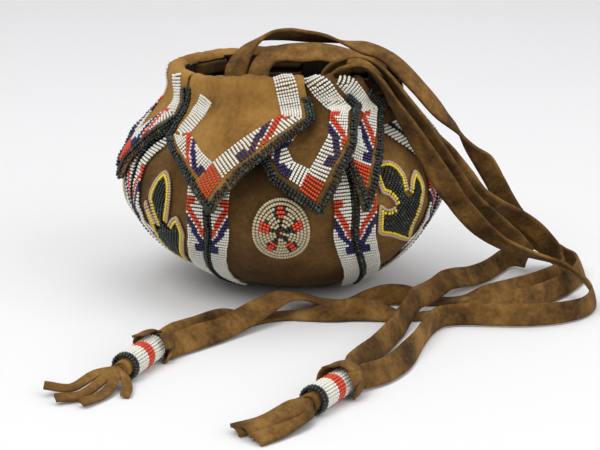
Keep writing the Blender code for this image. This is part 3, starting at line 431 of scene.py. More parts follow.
def seam_azimuth(k, height):
    """Azimuth of seam k in degrees: splayed near the base, and drawn over to its place at the neck."""
    low = np.maximum(1 - height / SPLAY_HEIGHT, 0.0) ** SPLAY_POWER
    splayed = SEAM_AZIMUTHS[k % 8] + SEAM_SPLAYS[k % 8] * low
    shoulder = NECK_HEIGHT - 2 * SLIT_HEIGHT - BELLY_HEIGHT
    climbed = eased((height - BELLY_HEIGHT - CLIMB_SHARE * shoulder) / ((1 - CLIMB_SHARE) * shoulder))
    return splayed + (NECK_SEAMS[k % 8] - splayed) * climbed + 360.0 * (k // 8)


def gore_share(azimuth, height):
    """How far across its gore a place is, from -1 to 1."""
    share = np.zeros_like(azimuth)
    for k in range(-8, 17):
        left = seam_azimuth(k, height)
        right = seam_azimuth(k + 1, height)
        inside = (azimuth >= left) & (azimuth < right)
        share = np.where(inside, 2 * (azimuth - left) / (right - left) - 1, share)
    return share


def puckers(azimuth, length, height, share):
    """Small folds of the soft hide: upright near the neck, and short ones along the stitched seams."""
    turn = np.radians(azimuth)
    neck = eased((height - 0.062) / 0.03)
    upright = np.sin(17 * turn + 40 * height) + 0.6 * np.sin(29 * turn - 70 * height + 1.3)
    near_seam = np.abs(share) ** 3
    stitched = np.sin(length * 2 * math.pi / SEAM_PUCKER_PITCH + 3 * np.sin(3 * turn))
    stitched = stitched * near_seam * (1 - near_seam) * 4
    broad = np.sin(7 * turn + 90 * height + 0.7) * np.sin(75 * height + 2.2 * turn)
    sagging = np.sin(220 * height + 1.8 * np.sin(5 * turn)) * (1 - share * share) * (1 - neck)
    small = NECK_PUCKER * upright * neck + SEAM_PUCKER * stitched + BROAD_PUCKER * broad + SAG * sagging
    return small * eased(height / 0.012) * eased((1 - np.abs(share)) / 0.12)


def on_bag(azimuth, length, lift):
    """Points of the bag's surface, lifted off it along its normal, and that normal."""
    azimuth, length, lift = np.broadcast_arrays(
        np.asarray(azimuth, float), np.asarray(length, float), np.asarray(lift, float)
    )
    radius, height, slope_r, slope_z = along_profile(length)
    share = gore_share(azimuth, height)
    fade = eased(height / 0.03) * eased((NECK_HEIGHT - 0.015 - height) / 0.02)
    swell = GORE_BULGE * (1 - share * share) * fade + puckers(azimuth, length, height, share)
    near_pole = np.maximum(1 - height / POLE_SHIFT_HEIGHT, 0.0) ** 2
    turn = np.radians(azimuth)
    reach = radius + swell + slope_z * lift
    normal = np.stack((slope_z * np.sin(turn), -slope_z * np.cos(turn), -slope_r), axis=-1)
    x = POLE_SHIFT[0] * near_pole + reach * np.sin(turn)
    y = POLE_SHIFT[1] * near_pole - reach * np.cos(turn)
    return np.stack((x, y, height - slope_r * lift), axis=-1), normal


def flap_reach(drop):
    """Distance of a flap's underside from the bag's axis at a drop below the rim."""
    return along_profile(NECK_LENGTH - drop)[0] + FLAP_LOW


def to_flat(flap, azimuth, drop):
    """A place on a flap laid flat: across from the tip's azimuth, and up from the rim."""
    return np.array((math.radians(azimuth - flap["tip"][0]) * flap_reach(drop), -drop))


def from_flat(flap, spots):
    """Azimuths and drops of places on a flap laid flat."""
    drops = np.maximum(-spots[..., 1], LEAST_DROP)
    return flap["tip"][0] + np.degrees(spots[..., 0] / flap_reach(drops)), drops


def flap_side(flap, side):
    """A flap's left or right edge laid flat: rim, corner, lower corner and tip."""
    rim = to_flat(flap, flap["rim"][0 if side == "left" else 1], 0.0)
    corner = to_flat(flap, *flap[side])
    tip = to_flat(flap, *flap["tip"]) + np.array((-TIP_WIDTH / 2 if side == "left" else TIP_WIDTH / 2, 0.0))
    low = flap.get(side + "_low")
    run = (EDGE_SHARES[2] - EDGE_SHARES[1]) / (1 - EDGE_SHARES[1])
    return np.array([rim, corner, to_flat(flap, *low) if low else corner + (tip - corner) * run, tip])


def flap_edge(flap, side, share):
    """Place laid flat on a flap's edge, from the rim (share 0) to the tip (share 1)."""
    return at_distance(flap_side(flap, side), EDGE_SHARES, share)


def flap_outline(flap):
    """A flap's free edge laid flat, from the rim round its tip to the rim."""
    corners = {side: 3 if side + "_low" in flap else 2 for side in ("left", "right")}
    left, right = [list(flap_side(flap, side)[:count]) for side, count in corners.items()]
    return [*left, to_flat(flap, *flap["tip"]), *reversed(right)]


def flap_lift(flap, azimuth, drop):
    """Height of a flap's underside over the bag. It climbs onto its neighbour and rolls at the rim."""
    climb = flap["climb"]
    risen = np.clip((azimuth - climb[0]) / (climb[1] - climb[0]), 0.0, 1.0) if climb else 0.0
    return FLAP_LOW + (FLAP_HIGH - FLAP_LOW) * risen + RIM_ROLL * (1 - eased(drop / RIM_ROLL_LENGTH))


def flap_ripple(flap, azimuth, drop):
    """The soft waves of a flap, and the slack of the hide between its bead lanes."""
    waves = FLAP_WAVE * np.sin(azimuth / 4.3 + flap["tip"][0]) * np.sin(drop * 150 + 0.3 * azimuth)
    waves += FLAP_SLACK * np.sin(azimuth / 2.1 + 260 * drop)
    return waves * eased(drop / 0.01)


def on_flap(flap, azimuth, drop, above):
    """Points on a flap at a drop below the rim, this far above its underside, with the normal there."""
    lift = flap_lift(flap, azimuth, drop) + flap_ripple(flap, azimuth, drop) + above
    return on_bag(azimuth, NECK_LENGTH - drop, lift)


def on_fold(flap, azimuths, turns, above):
    """Points on the rolled fold at the rim, from the neck (turn 0) to the flap (turn 1), and the normals."""
    foot, _ = on_bag(azimuths, NECK_LENGTH, 0.0)
    _, _, slope_r, slope_z = along_profile(NECK_LENGTH)
    half = flap_lift(flap, azimuths, 0.0) / 2
    angle = np.radians(azimuths)
    radial = np.stack((np.sin(angle), -np.cos(angle), np.zeros_like(angle)), axis=-1)
    upright = np.array((0.0, 0.0, 1.0))
    side = radial * slope_z - upright * slope_r
    along = radial * slope_r + upright * slope_z
    wave = FOLD_RISE * (1 + 0.12 * np.sin(azimuths / 3.1) + 0.09 * np.sin(azimuths / 1.3 + 2))
    bend = np.pi * np.asarray(turns)
    out = half * (1 - np.cos(bend))
    up = half * wave * np.sin(bend)
    normal = side * -np.cos(bend)[..., None] + along * np.sin(bend)[..., None]
    points = foot + side * out[..., None] + along * up[..., None] + normal * np.asarray(above)[..., None]
    return points, normal


def on_flap_or_rim(flap, spots, above):
    """Points on a flap or on the fold above it, for places laid flat. Those above the rim are on the fold."""
    azimuths, drops = from_flat(flap, spots)
    on_it, normals = on_flap(flap, azimuths, drops, above)
    past = np.maximum(spots[..., 1], 0.0)
    turns = 1 - past / (np.pi * flap_lift(flap, azimuths, 0.0) / 2) / FOLD_LENGTH
    folded, folded_normals = on_fold(flap, azimuths, turns, above)
    over = (past > 0)[..., None]
    return np.where(over, folded, on_it), np.where(over, folded_normals, normals)


SLIT_HEIGHTS = (
    NECK_HEIGHT - 2 * SLIT_HEIGHT - SLIT_BRIDGE, NECK_HEIGHT - SLIT_HEIGHT - SLIT_BRIDGE,
    NECK_HEIGHT - SLIT_HEIGHT, NECK_HEIGHT,
)
for k, flap in enumerate(FLAPS):
    neck_width = math.radians(seam_azimuth(k + 1, NECK_HEIGHT) - seam_azimuth(k, NECK_HEIGHT)) * NECK_RADIUS
    slit = SLIT_OPENING / neck_width
    slit_edges = (-0.5 - slit, -0.5 + slit, 0.5 - slit, 0.5 + slit)
    across = np.array(sorted({*np.round(np.linspace(-1, 1, GORE_COLUMNS), 4), *slit_edges}))
    slit_lengths = length_at(np.array(SLIT_HEIGHTS))
    slit_lengths[-1] = NECK_LENGTH
    body_lengths = np.linspace(POLE_CLOSED, slit_lengths[0], BODY_ROWS)
    lengths = np.concatenate((body_lengths, slit_lengths[1:]))
    rows = []
    for length in lengths:
        height = along_profile(length)[1]
        edge = math.degrees(STITCHED_GAP / 2 / max(along_profile(length)[0], 0.001))
        left = seam_azimuth(k, height) + edge
        right = seam_azimuth(k + 1, height) - edge
        rows.append(on_bag(left + (right - left) * (across + 1) / 2, length, 0.0)[0])
    for turn in np.arange(1, FOLD_ROWS + 1) / FOLD_ROWS:
        left, right = flap["rim"]
        azimuths = left + (right - left) * (across + 1) / 2
        rows.append(on_fold(flap, azimuths, np.full(len(azimuths), turn), np.zeros(len(azimuths)))[0])
    for share in np.linspace(0.03, 1.0, FLAP_ROWS):
        left = flap_edge(flap, "left", share)
        right = flap_edge(flap, "right", share)
        azimuths, drops = from_flat(flap, left + (right - left) * ((across + 1) / 2)[:, None])
        rows.append(on_flap(flap, azimuths, drops, 0.0)[0])
    points = np.stack(rows)
    holes = np.zeros(points.shape[:2], bool)
    for first in (len(body_lengths) - 1, len(body_lengths) + 1):
        for low, high in (slit_edges[:2], slit_edges[2:]):
            holes[first, :-1] |= (across[:-1] >= low - 1e-9) & (across[1:] <= high + 1e-9)
    skins = np.where(np.arange(len(rows)) < len(body_lengths) + 2, 0, 2)
    # Gores 3 and 4 take the lighter outer hide, which is painted light.
    body_hide = hides["outer hide with painted light" if k in PAINTED_LIGHT_GORES else "outer hide"]
    # Flaps 2, 3, 4 and 6 take the darker flap hide, as painted shade.
    flap_hide = hides["flap hide" if k in PALE_FLAPS else "flap hide darkened as painted shade"]
    # The second material, on the inner face of the body, is the near-black hide that stands for painted shade
    # inside the bag.
    materials = [body_hide, hides["hide inside the bag darkened as painted shade"], hides["handled hide at the neck"], flap_hide]
    hide = grid_sheet(f"hide_{k + 1}", points, HIDE, -1.0, materials, holes, skins)
    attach(hide, "root")
    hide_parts(f"gore_{k + 1}")


# Seed beads. Small glass barrels, 1.5 mm across and about 1 mm long, all sewn down. One is modelled, and the
# rest are copies of it.
ROW = 0.00155
ROW_FILL = 0.93
BEAD_FILL = 1.02
BEAD_END = 0.86
BEAD_WAIST = 1.10
BEAD_VARIETY = 0.03
HOLE_STEP = 0.0004


def bead_material(name, colour, roughness, coat=0.25):
    """Opaque glass, with a thin clear gloss."""
    made = bpy.data.materials.new(name)
    made.use_nodes = True
    shader = made.node_tree.nodes["Principled BSDF"]
    shader.inputs["Base Color"].default_value = (*colour, 1.0)
    shader.inputs["Roughness"].default_value = roughness
    shader.inputs["Coat Weight"].default_value = coat
    shader.inputs["Coat Roughness"].default_value = 0.12
    return made


bead_colours = {
    "white": bead_material("white beads", (0.78, 0.76, 0.68), 0.35),
    "red": bead_material("red beads", (0.66, 0.052, 0.012), 0.30),
    "navy": bead_material("navy beads", (0.010, 0.009, 0.090), 0.30, 0.08),
    "green": bead_material("dark green beads", (0.006, 0.014, 0.010), 0.30, 0.06),
    # Paler, glossier green beads scattered among the dark ones: painted glints.
    "painted glint": bead_material("pale green beads as painted glints", (0.020, 0.052, 0.036), 0.15, 0.25),
    "black": bead_material("black beads", (0.004, 0.004, 0.005), 0.30, 0.06),
    "yellow": bead_material("yellow beads", (0.78, 0.60, 0.020), 0.30),
    "beige": bead_material("beige beads", (0.50, 0.36, 0.24), 0.38),
    "tan": bead_material("tan beads", (0.50, 0.42, 0.27), 0.38),
    "orange": bead_material("orange bead", (0.70, 0.16, 0.03), 0.30),
}
bead_order = list(bead_colours)

bpy.ops.object.select_all(action="DESELECT")
bpy.ops.mesh.primitive_uv_sphere_add(segments=6, ring_count=4, radius=1.0)
bead_model = bpy.context.object
bead_corners = np.array([vert.co for vert in bead_model.data.vertices])
bead_corners[:, 2] = np.clip(bead_corners[:, 2], -BEAD_END, BEAD_END)
bead_corners[:, :2] *= np.where(np.abs(bead_corners[:, 2:]) > 0.6, BEAD_WAIST, 1.0)
bead_shapes = [list(face.vertices) for face in bead_model.data.polygons]
bead_faces = [[face for face in bead_shapes if len(face) == count] for count in (3, 4)]
bpy.data.objects.remove(bead_model)


def sewn_beads(name, node, slot, places, axes, ups, colours, sizes, loose=0.06):
    """Joins beads into one piece, each with its hole along an axis. Sizes are (length, width), in metres."""
    chance = np.random.default_rng(len(places))
    axes = unit(unit(axes) + chance.normal(0.0, loose, axes.shape))
    sides = unit(np.cross(ups, axes))
    ups = np.cross(axes, sides)
    spread = chance.normal(1.0, BEAD_VARIETY, (len(places), 1, 1))
    lengths = np.broadcast_to(sizes, (len(places), 2))[:, 0, None, None]
    widths = np.broadcast_to(sizes, (len(places), 2))[:, 1, None, None]
    local = sides[:, None, :] * bead_corners[None, :, :1] * widths / 2
    local = local + ups[:, None, :] * bead_corners[None, :, 1:2] * widths / 2
    local = local + axes[:, None, :] * bead_corners[None, :, 2:] / BEAD_END * lengths / 2
    points = (places[:, None, :] + local * spread).reshape(-1, 3)
    shifts = (np.arange(len(places)) * len(bead_corners))[:, None, None]
    faces = []
    index = []
    used = [colour for colour in bead_order if colour in set(colours)]
    numbers = np.array([used.index(colour) for colour in colours])
    for shape in bead_faces:
        corners = np.array(shape)
        faces += (corners[None] + shifts).reshape(-1, corners.shape[1]).tolist()
        index.append(np.repeat(numbers, len(shape)))
    mesh = bpy.data.meshes.new(name)
    mesh.from_pydata(points.tolist(), [], faces)
    for colour in used:
        mesh.materials.append(bead_colours[colour])
    mesh.polygons.foreach_set("material_index", np.concatenate(index).astype(np.int32))
    mesh.update()
    mesh.shade_smooth()
    made = bpy.data.objects.new(name, mesh)
    bpy.context.scene.collection.objects.link(made)
    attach(made, "root")
    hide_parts(node)
    return made


def sew_to_bag(name, node, slot, spots, colours, sizes, loose=0.06):
    """Sews beads to the bag. Spots are (azimuth, length on the profile, lift, turn and climb of the hole)."""
    azimuth, length, lift, turn, climb = np.array(spots, float).T
    places, ups = on_bag(azimuth, length, lift)
    ahead, _ = on_bag(azimuth + turn, length + climb, lift)
    return sewn_beads(name, node, slot, places, ahead - places, ups, colours, np.array(sizes), loose)


# Seam beadwork. Two lanes, eight beads wide, are sewn down both sides of each seam, with a ridge of dark
# beads between them.
LANE_WIDTH = 0.0084
LANE_BEADS = 8
RIDGE_WIDTH = 0.0042
SEAM_BEAD_LOW = 0.0050
SEAM_BEAD_ROOM = 0.0055
SEAM_BEAD_HIGH = SLIT_HEIGHTS[0] - SEAM_BEAD_ROOM
SEAM_BEAD_SHARE = 0.43
PATTERN_TOPS = (0.064, 0.0565, 0.0565, 0.060, 0.0565, 0.0565, 0.0565, 0.0565)
RED_ROWS = 3.2
NAVY_ROWS = (4.4, 7.8)
PATTERN_LEAN = 1.15
LOOSE_ROWS = 0.28
LOOSE_HEIGHT = 0.046
LOOSE_FADE = 0.02
HOOK_SIZE = (1.6, 3.5)
FOOT_ROWS = (-1.5, 2.0)
FOOT_WIDTH = 4.5
LEAST_COLUMNS = 4
SEAM_HOLE_TURN = 0.5
RIDGE_BEADS = ((-0.00130, 0.0013), (0.0, 0.0022), (0.00130, 0.0013))
RIDGE_BEAD_LENGTH = 0.00135
RIDGE_SHAKE = 0.00012
# The dark mix scatters a few paler green beads among the dark green and black ones as painted glints.
DARK_MIX = ("green", "green", "black", "black", "black", "painted glint", "green", "black", "black")
dark_chance = np.random.default_rng(11)


def lane_colour(row, column):
    """The lane's pattern below the row where its red begins. Columns count from the edge where it begins."""
    step = row - PATTERN_LEAN * column
    if 0 <= step < RED_ROWS or (0 <= row < HOOK_SIZE[0] and column < HOOK_SIZE[1]):
        return "red"
    if NAVY_ROWS[0] <= step < NAVY_ROWS[1]:
        return "navy"
    last = NAVY_ROWS[1] + PATTERN_LEAN * (LANE_BEADS - 1)
    if FOOT_ROWS[0] <= row - last < FOOT_ROWS[1] and column > LANE_BEADS - FOOT_WIDTH:
        return "navy"
    return "white"


for k in range(8):
    spots = []
    colours = []
    sizes = []
    length = float(length_at(SEAM_BEAD_HIGH)) - ROW / 2
    lengths = []
    while length > length_at(SEAM_BEAD_LOW) + ROW / 2:
        lengths.append(length)
        length -= ROW * (1 + LOOSE_ROWS * eased((LOOSE_HEIGHT - along_profile(length)[1]) / LOOSE_FADE))
    top = int(np.argmin(np.abs(np.array(lengths) - length_at(PATTERN_TOPS[k]))))
    for row, length in enumerate(lengths):
        radius, height, _, _ = along_profile(length)
        seam = seam_azimuth(k, height)
        narrow = min(seam - seam_azimuth(k - 1, height), seam_azimuth(k + 1, height) - seam)
        room = math.radians(narrow) * radius * SEAM_BEAD_SHARE
        fit = min(1.0, room / (LANE_WIDTH + RIDGE_WIDTH / 2))
        per_degree = math.radians(1.0) * radius
        columns = max(LEAST_COLUMNS, round(LANE_BEADS * fit))
        for side in (-1, 1):
            for column in range(columns):
                out = (RIDGE_WIDTH / 2 + (column + 0.5) / columns * LANE_WIDTH) * fit
                azimuth = seam + side * out / per_degree
                spots.append((azimuth, length, BEAD_SEAT + BEAD / 2, SEAM_HOLE_TURN, 0.0))
                from_outside = (columns - 1 - column) * (LANE_BEADS - 1) / (columns - 1)
                colours.append(lane_colour(row - top, from_outside))
                sizes.append((LANE_WIDTH * fit / columns * BEAD_FILL, BEAD * ROW_FILL))
        for across, lift in RIDGE_BEADS:
            shift = dark_chance.normal(0.0, RIDGE_SHAKE)
            azimuth = seam + (across + shift) * fit / per_degree
            spots.append((azimuth, length + shift, lift + BEAD_SEAT / 4, SEAM_HOLE_TURN, 0.0))
            colours.append(DARK_MIX[dark_chance.integers(len(DARK_MIX))])
            sizes.append((RIDGE_BEAD_LENGTH * fit, BEAD))
    sew_to_bag(f"seam_beads_{k + 1}", f"seam_beadwork_{k + 1}", "seam_beads", spots, colours, sizes)


# Flap borders. A bead lane is sewn along both free sides of each flap. At the tip the right one runs through
# to the end, with a red block, and the left one butts against it.
EDGE_MARGIN = 0.0040
BUTT_GAP = 0.000315
SHARPEST_CORNER = 0.3
TIP_MARGIN = 0.0028
TIP_BLOCK = 5.5 * ROW
NARROW_TIP_BLOCK = 4 * ROW
RIM_LANE = 0.0025
RIM_LANES = {0: (0.0, 0.0085), 1: (0.0, 0.0085), 2: (0.0, 0.0080)}
PATTERN_DELAYS = {1: (-0.0140, 0.0030), 2: (0.0, 0.0015)}


def left_of(way):
    return np.array((-way[1], way[0]))


def moved_line(points, distance):
    """A line on the plan moved to its left, with mitred corners."""
    moved = []
    for index, point in enumerate(points):
        before = point - points[index - 1] if index else None
        after = points[index + 1] - point if index + 1 < len(points) else None
        before = after if before is None else before
        after = before if after is None else after
        before = unit(before)
        side = left_of(unit(before + unit(after)))
        moved.append(point + side * distance / max(float(side @ left_of(before)), SHARPEST_CORNER))
    return moved


def sew_to_flap(name, node, slot, flap, laid, loose=0.06):
    """Sews beads to a flap. Each has its place and hole's way laid flat, height, colour, length and width."""
    spots = np.array([bead[0] for bead in laid])
    ways = np.array([bead[1] for bead in laid])
    above = np.array([bead[2] for bead in laid])
    places, ups = on_flap_or_rim(flap, spots, above)
    ahead, _ = on_flap_or_rim(flap, spots + ways * HOLE_STEP, above)
    colours = [bead[3] for bead in laid]
    sizes = np.array([bead[4:6] for bead in laid])
    sewn_beads(name, node, slot, places, ahead - places, ups, colours, sizes, loose)


for k, flap in enumerate(FLAPS):
    outline = flap_outline(flap)
    corners = moved_line(outline, EDGE_MARGIN + LANE_WIDTH / 2)[1:-1]
    starts = [to_flat(flap, *start) for start in flap["lanes"]]
    centre = [starts[0], *corners, starts[1]]
    tip_index = len(flap_side(flap, "left")[: 3 if "left_low" in flap else 2])
    ways = [unit(end - start) for start, end in zip(centre, centre[1:])]
    runs = [np.linalg.norm(end - start) for start, end in zip(centre, centre[1:])]
    outwards = -left_of(ways[tip_index - 1])
    tip_side = left_of(ways[tip_index])
    tip = outline[tip_index]
    block = NARROW_TIP_BLOCK if "left_low" in flap else TIP_BLOCK
    tip_end = 1.0
    laid = []
    for leg, (start, end, ahead, run) in enumerate(zip(centre, centre[1:], ways, runs)):
        left = left_of(ahead)
        right_side = leg >= tip_index
        delay = PATTERN_DELAYS.get(k, (0.0, 0.0))[1 if right_side else 0]
        if right_side:
            tip_way = sum(runs[tip_index:leg])
            pattern_start = sum(runs[tip_index:-1]) - delay
        else:
            tip_way = sum(runs[leg + 1 : tip_index])
            pattern_start = sum(runs[1:tip_index]) - delay
        start_room, end_room = RIM_LANES.get(k, (RIM_LANE, RIM_LANE))
        low = -LANE_WIDTH if leg else -start_room
        if leg == tip_index:
            low = -2 * LANE_WIDTH
        high = LANE_WIDTH if leg < len(ways) - 1 else end_room
        steps = np.arange(math.ceil(low / ROW), math.floor((run + high) / ROW) + 1)
        for step in steps:
            distance = step * ROW if right_side else run - step * ROW
            if (not right_side and distance < low) or (right_side and distance > run + high):
                continue
            for column in range(LANE_BEADS):
                t = (column + 0.5) / LANE_BEADS - 0.5
                spot = start + ahead * distance + left * t * LANE_WIDTH
                if leg == tip_index:
                    if (spot - tip) @ outwards > -TIP_MARGIN:
                        continue
                    tip_end = min(tip_end, distance)
                elif leg and (spot - start) @ (ways[leg - 1] + ahead) < 0:
                    continue
                if leg == tip_index - 1:
                    if (spot - end) @ tip_side < LANE_WIDTH / 2 + BUTT_GAP:
                        continue
                elif leg < len(ways) - 1 and (spot - end) @ (ahead + ways[leg + 1]) > 0:
                    continue
                if -spot[1] > flap["tip"][1]:
                    continue
                to_tip = tip_way + (distance if right_side else run - distance)
                colour = lane_colour(round((pattern_start - to_tip) / ROW), LANE_BEADS - 1 - column)
                if leg == tip_index and distance < tip_end + block:
                    colour = "red"
                height = HIDE + BORDER_SEAT - BEAD / 2
                size = (LANE_WIDTH / LANE_BEADS * BEAD_FILL, BEAD * ROW_FILL)
                laid.append((spot, left, height, colour, *size))
    sew_to_flap(f"border_beads_{k + 1}", f"flap_border_{k + 1}", "border_beads", flap, laid)


# Edging. Dark beads bind the cut edge of each flap, four to a stitch: two on top, one at the side and one
# below. Each stitch is sewn through the hide.
EDGING_START = 0.0040
EDGING_STITCH = (
    (0.0019, HIDE + 0.0006), (0.0008, HIDE + 0.0010), (-0.0004, HIDE + 0.0001), (-0.0006, 0.0000),
)
EDGING_SHAKE = 0.00016
EDGING_BEAD = (0.0016, BEAD * 1.12)
EDGING_LOOSE = 0.25
EDGING_STEP = 0.0006

for k, flap in enumerate(FLAPS):
    line = np.array(flap_outline(flap))
    line[0] = line[0] + (line[1] - line[0]) * EDGING_START / -line[1][1]
    line[-1] = line[-1] + (line[-2] - line[-1]) * EDGING_START / -line[-2][1]
    travelled = travel(line)
    laid = []
    for distance in np.arange(0.0, travelled[-1] - EDGING_STEP, ROW):
        spot = at_distance(line, travelled, distance)
        ahead = unit(at_distance(line, travelled, distance + EDGING_STEP) - spot)
        left = left_of(ahead)
        for inset, height in EDGING_STITCH:
            shake = dark_chance.normal(0.0, EDGING_SHAKE, 3)
            bead = spot + left * (inset + shake[0]) + ahead * shake[1]
            colour = DARK_MIX[dark_chance.integers(len(DARK_MIX))]
            laid.append((bead, left, height + shake[2] / 2, colour, *EDGING_BEAD))
    sew_to_flap(f"edging_{k + 1}", f"flap_edging_{k + 1}", "edging_beads", flap, laid, EDGING_LOOSE)


# Rosettes. Round medallions of tan beads sewn on in rings. Five dark spokes end in red spots, inside two tan
# rings.
ROSETTE_WIDTH = 0.0255
ROSETTE_HEIGHT = 0.0315
ROSETTE_LEVEL = 0.0450
ROSETTE_GAP = 0.0016
ROSETTE_RINGS = 8
ROSETTE_SPOKES = 5
ROSETTE_BEAD = (0.00135, BEAD * 1.15)
RING_TURN = 0.37
SPOKE_TURN = 0.02
SPOKE_RINGS = 3
SPOT_WIDTHS = {4: 1.2, 5: 1.7, 6: 1.3}

for k in (1, 3, 5, 7):
    gore_width = math.radians(SEAM_AZIMUTHS[(k + 1) % 8] - SEAM_AZIMUTHS[k]) % (2 * math.pi) * BAG_RADIUS
    width = min(ROSETTE_WIDTH, gore_width - 2 * LANE_WIDTH - RIDGE_WIDTH - 2 * ROSETTE_GAP)
    middle = float(length_at(ROSETTE_LEVEL))
    spots = []
    colours = []
    for ring in range(ROSETTE_RINGS + 1):
        reach = ring / (ROSETTE_RINGS + 0.5)
        around = 2 * math.pi * reach * (width + ROSETTE_HEIGHT) / 4
        count = max(1, round(around / ROSETTE_BEAD[0]))
        for number in range(count):
            angle = 2 * math.pi * (number + RING_TURN * ring) / count
            across = reach * width / 2 * math.sin(angle)
            along = reach * ROSETTE_HEIGHT / 2 * math.cos(angle)
            radius, height, _, _ = along_profile(middle + along)
            centre = (seam_azimuth(k, height) + seam_azimuth(k + 1, height)) / 2
            azimuth = centre + math.degrees(across / radius)
            turn = math.degrees(math.cos(angle) * HOLE_STEP / radius) + 1e-6
            climb = -math.sin(angle) * HOLE_STEP
            spots.append((azimuth, middle + along, BEAD_SEAT + BEAD / 2, turn, climb))
            spoke = (angle / (2 * math.pi) * ROSETTE_SPOKES + SPOKE_TURN) % 1.0
            off_spoke = min(spoke, 1 - spoke) * 2 * math.pi * ring / ROSETTE_SPOKES
            colour = "tan"
            if ring == 0:
                colour = "orange"
            elif ring <= SPOKE_RINGS and off_spoke < 0.5:
                colour = "green"
            elif off_spoke < SPOT_WIDTHS.get(ring, 0.0):
                colour = "red" if off_spoke < 1.0 else "green"
            colours.append(colour)
    sew_to_bag(f"rosette_beads_{k + 1}", f"rosette_{k + 1}", "rosette_beads", spots, colours, ROSETTE_BEAD)


# Leaves. Three-lobed figures of beads sewn to the hide: rows of dark green, inside a yellow and a beige line.
LEAF_UPRIGHT = (
    (0.0030, 0.0640), (-0.0066, 0.0700), (-0.0098, 0.0850), (-0.0119, 0.0975), (-0.0098, 0.1005),
    (-0.0071, 0.0960), (-0.0040, 0.0900), (-0.0058, 0.0985), (-0.0070, 0.1040), (-0.0026, 0.1130),
    (0.0018, 0.1165), (0.0071, 0.1125), (0.0092, 0.1060), (0.0082, 0.0985), (0.0051, 0.0920),
    (0.0084, 0.0955), (0.0125, 0.0972), (0.0143, 0.0940), (0.0146, 0.0870), (0.0089, 0.0740),
)
LEAF_LEANING = (
    (0.0070, 0.0780), (-0.0081, 0.0855), (-0.0154, 0.0885), (-0.0174, 0.0935), (-0.0181, 0.1010),
    (-0.0169, 0.1035), (-0.0129, 0.1010), (-0.0091, 0.1020), (-0.0117, 0.1060), (-0.0160, 0.1090),
    (-0.0161, 0.1170), (-0.0119, 0.1225), (-0.0037, 0.1220), (0.0004, 0.1150), (0.0008, 0.1070),
    (0.0039, 0.1120), (0.0084, 0.1150), (0.0115, 0.1120), (0.0130, 0.1050), (0.0077, 0.0940),
    (0.0061, 0.0880),
)
LEAF_ROOM = 0.0380
LEAF_LINE = 0.0014
LEAF_LINES = ((LEAF_LINE * 0.55, "beige"), (LEAF_LINE * 1.6, "yellow"))
LEAF_MARGIN = LEAF_LINE * 2.25
LEAF_BEAD = (0.0013, BEAD * 1.08)
LEAF_BEAD_STEP = 0.00130
LEAF_ROW = 0.00165
LEAF_REACH = 0.036
LEAF_SEAT = 0.0007
LEAF_STEP = 0.0005
LEAF_LOOSE = 0.10
LEAVES = (
    (0, LEAF_UPRIGHT, 1, 70.0), (2, LEAF_LEANING, 1, 45.0),
    (4, LEAF_LEANING, -1, 135.0), (6, LEAF_UPRIGHT, -1, 110.0),
)


def inside_and_depth(line, spots):
    """Whether each spot is inside a closed line, and how far it is from it."""
    ends = np.roll(line, -1, axis=0)
    runs = ends - line
    away = spots[:, None, :] - line[None, :, :]
    share = np.clip((away * runs).sum(-1) / (runs * runs).sum(-1), 0.0, 1.0)
    depth = np.linalg.norm(away - share[..., None] * runs, axis=-1).min(axis=1)
    above = (line[None, :, 1] > spots[:, None, 1]) != (ends[None, :, 1] > spots[:, None, 1])
    rate = np.where(runs[:, 1] == 0, 1e-12, runs[:, 1])
    crossing = line[None, :, 0] + away[..., 1] / rate * runs[:, 0] > spots[:, None, 0]
    return (above & crossing).sum(axis=1) % 2 == 1, depth


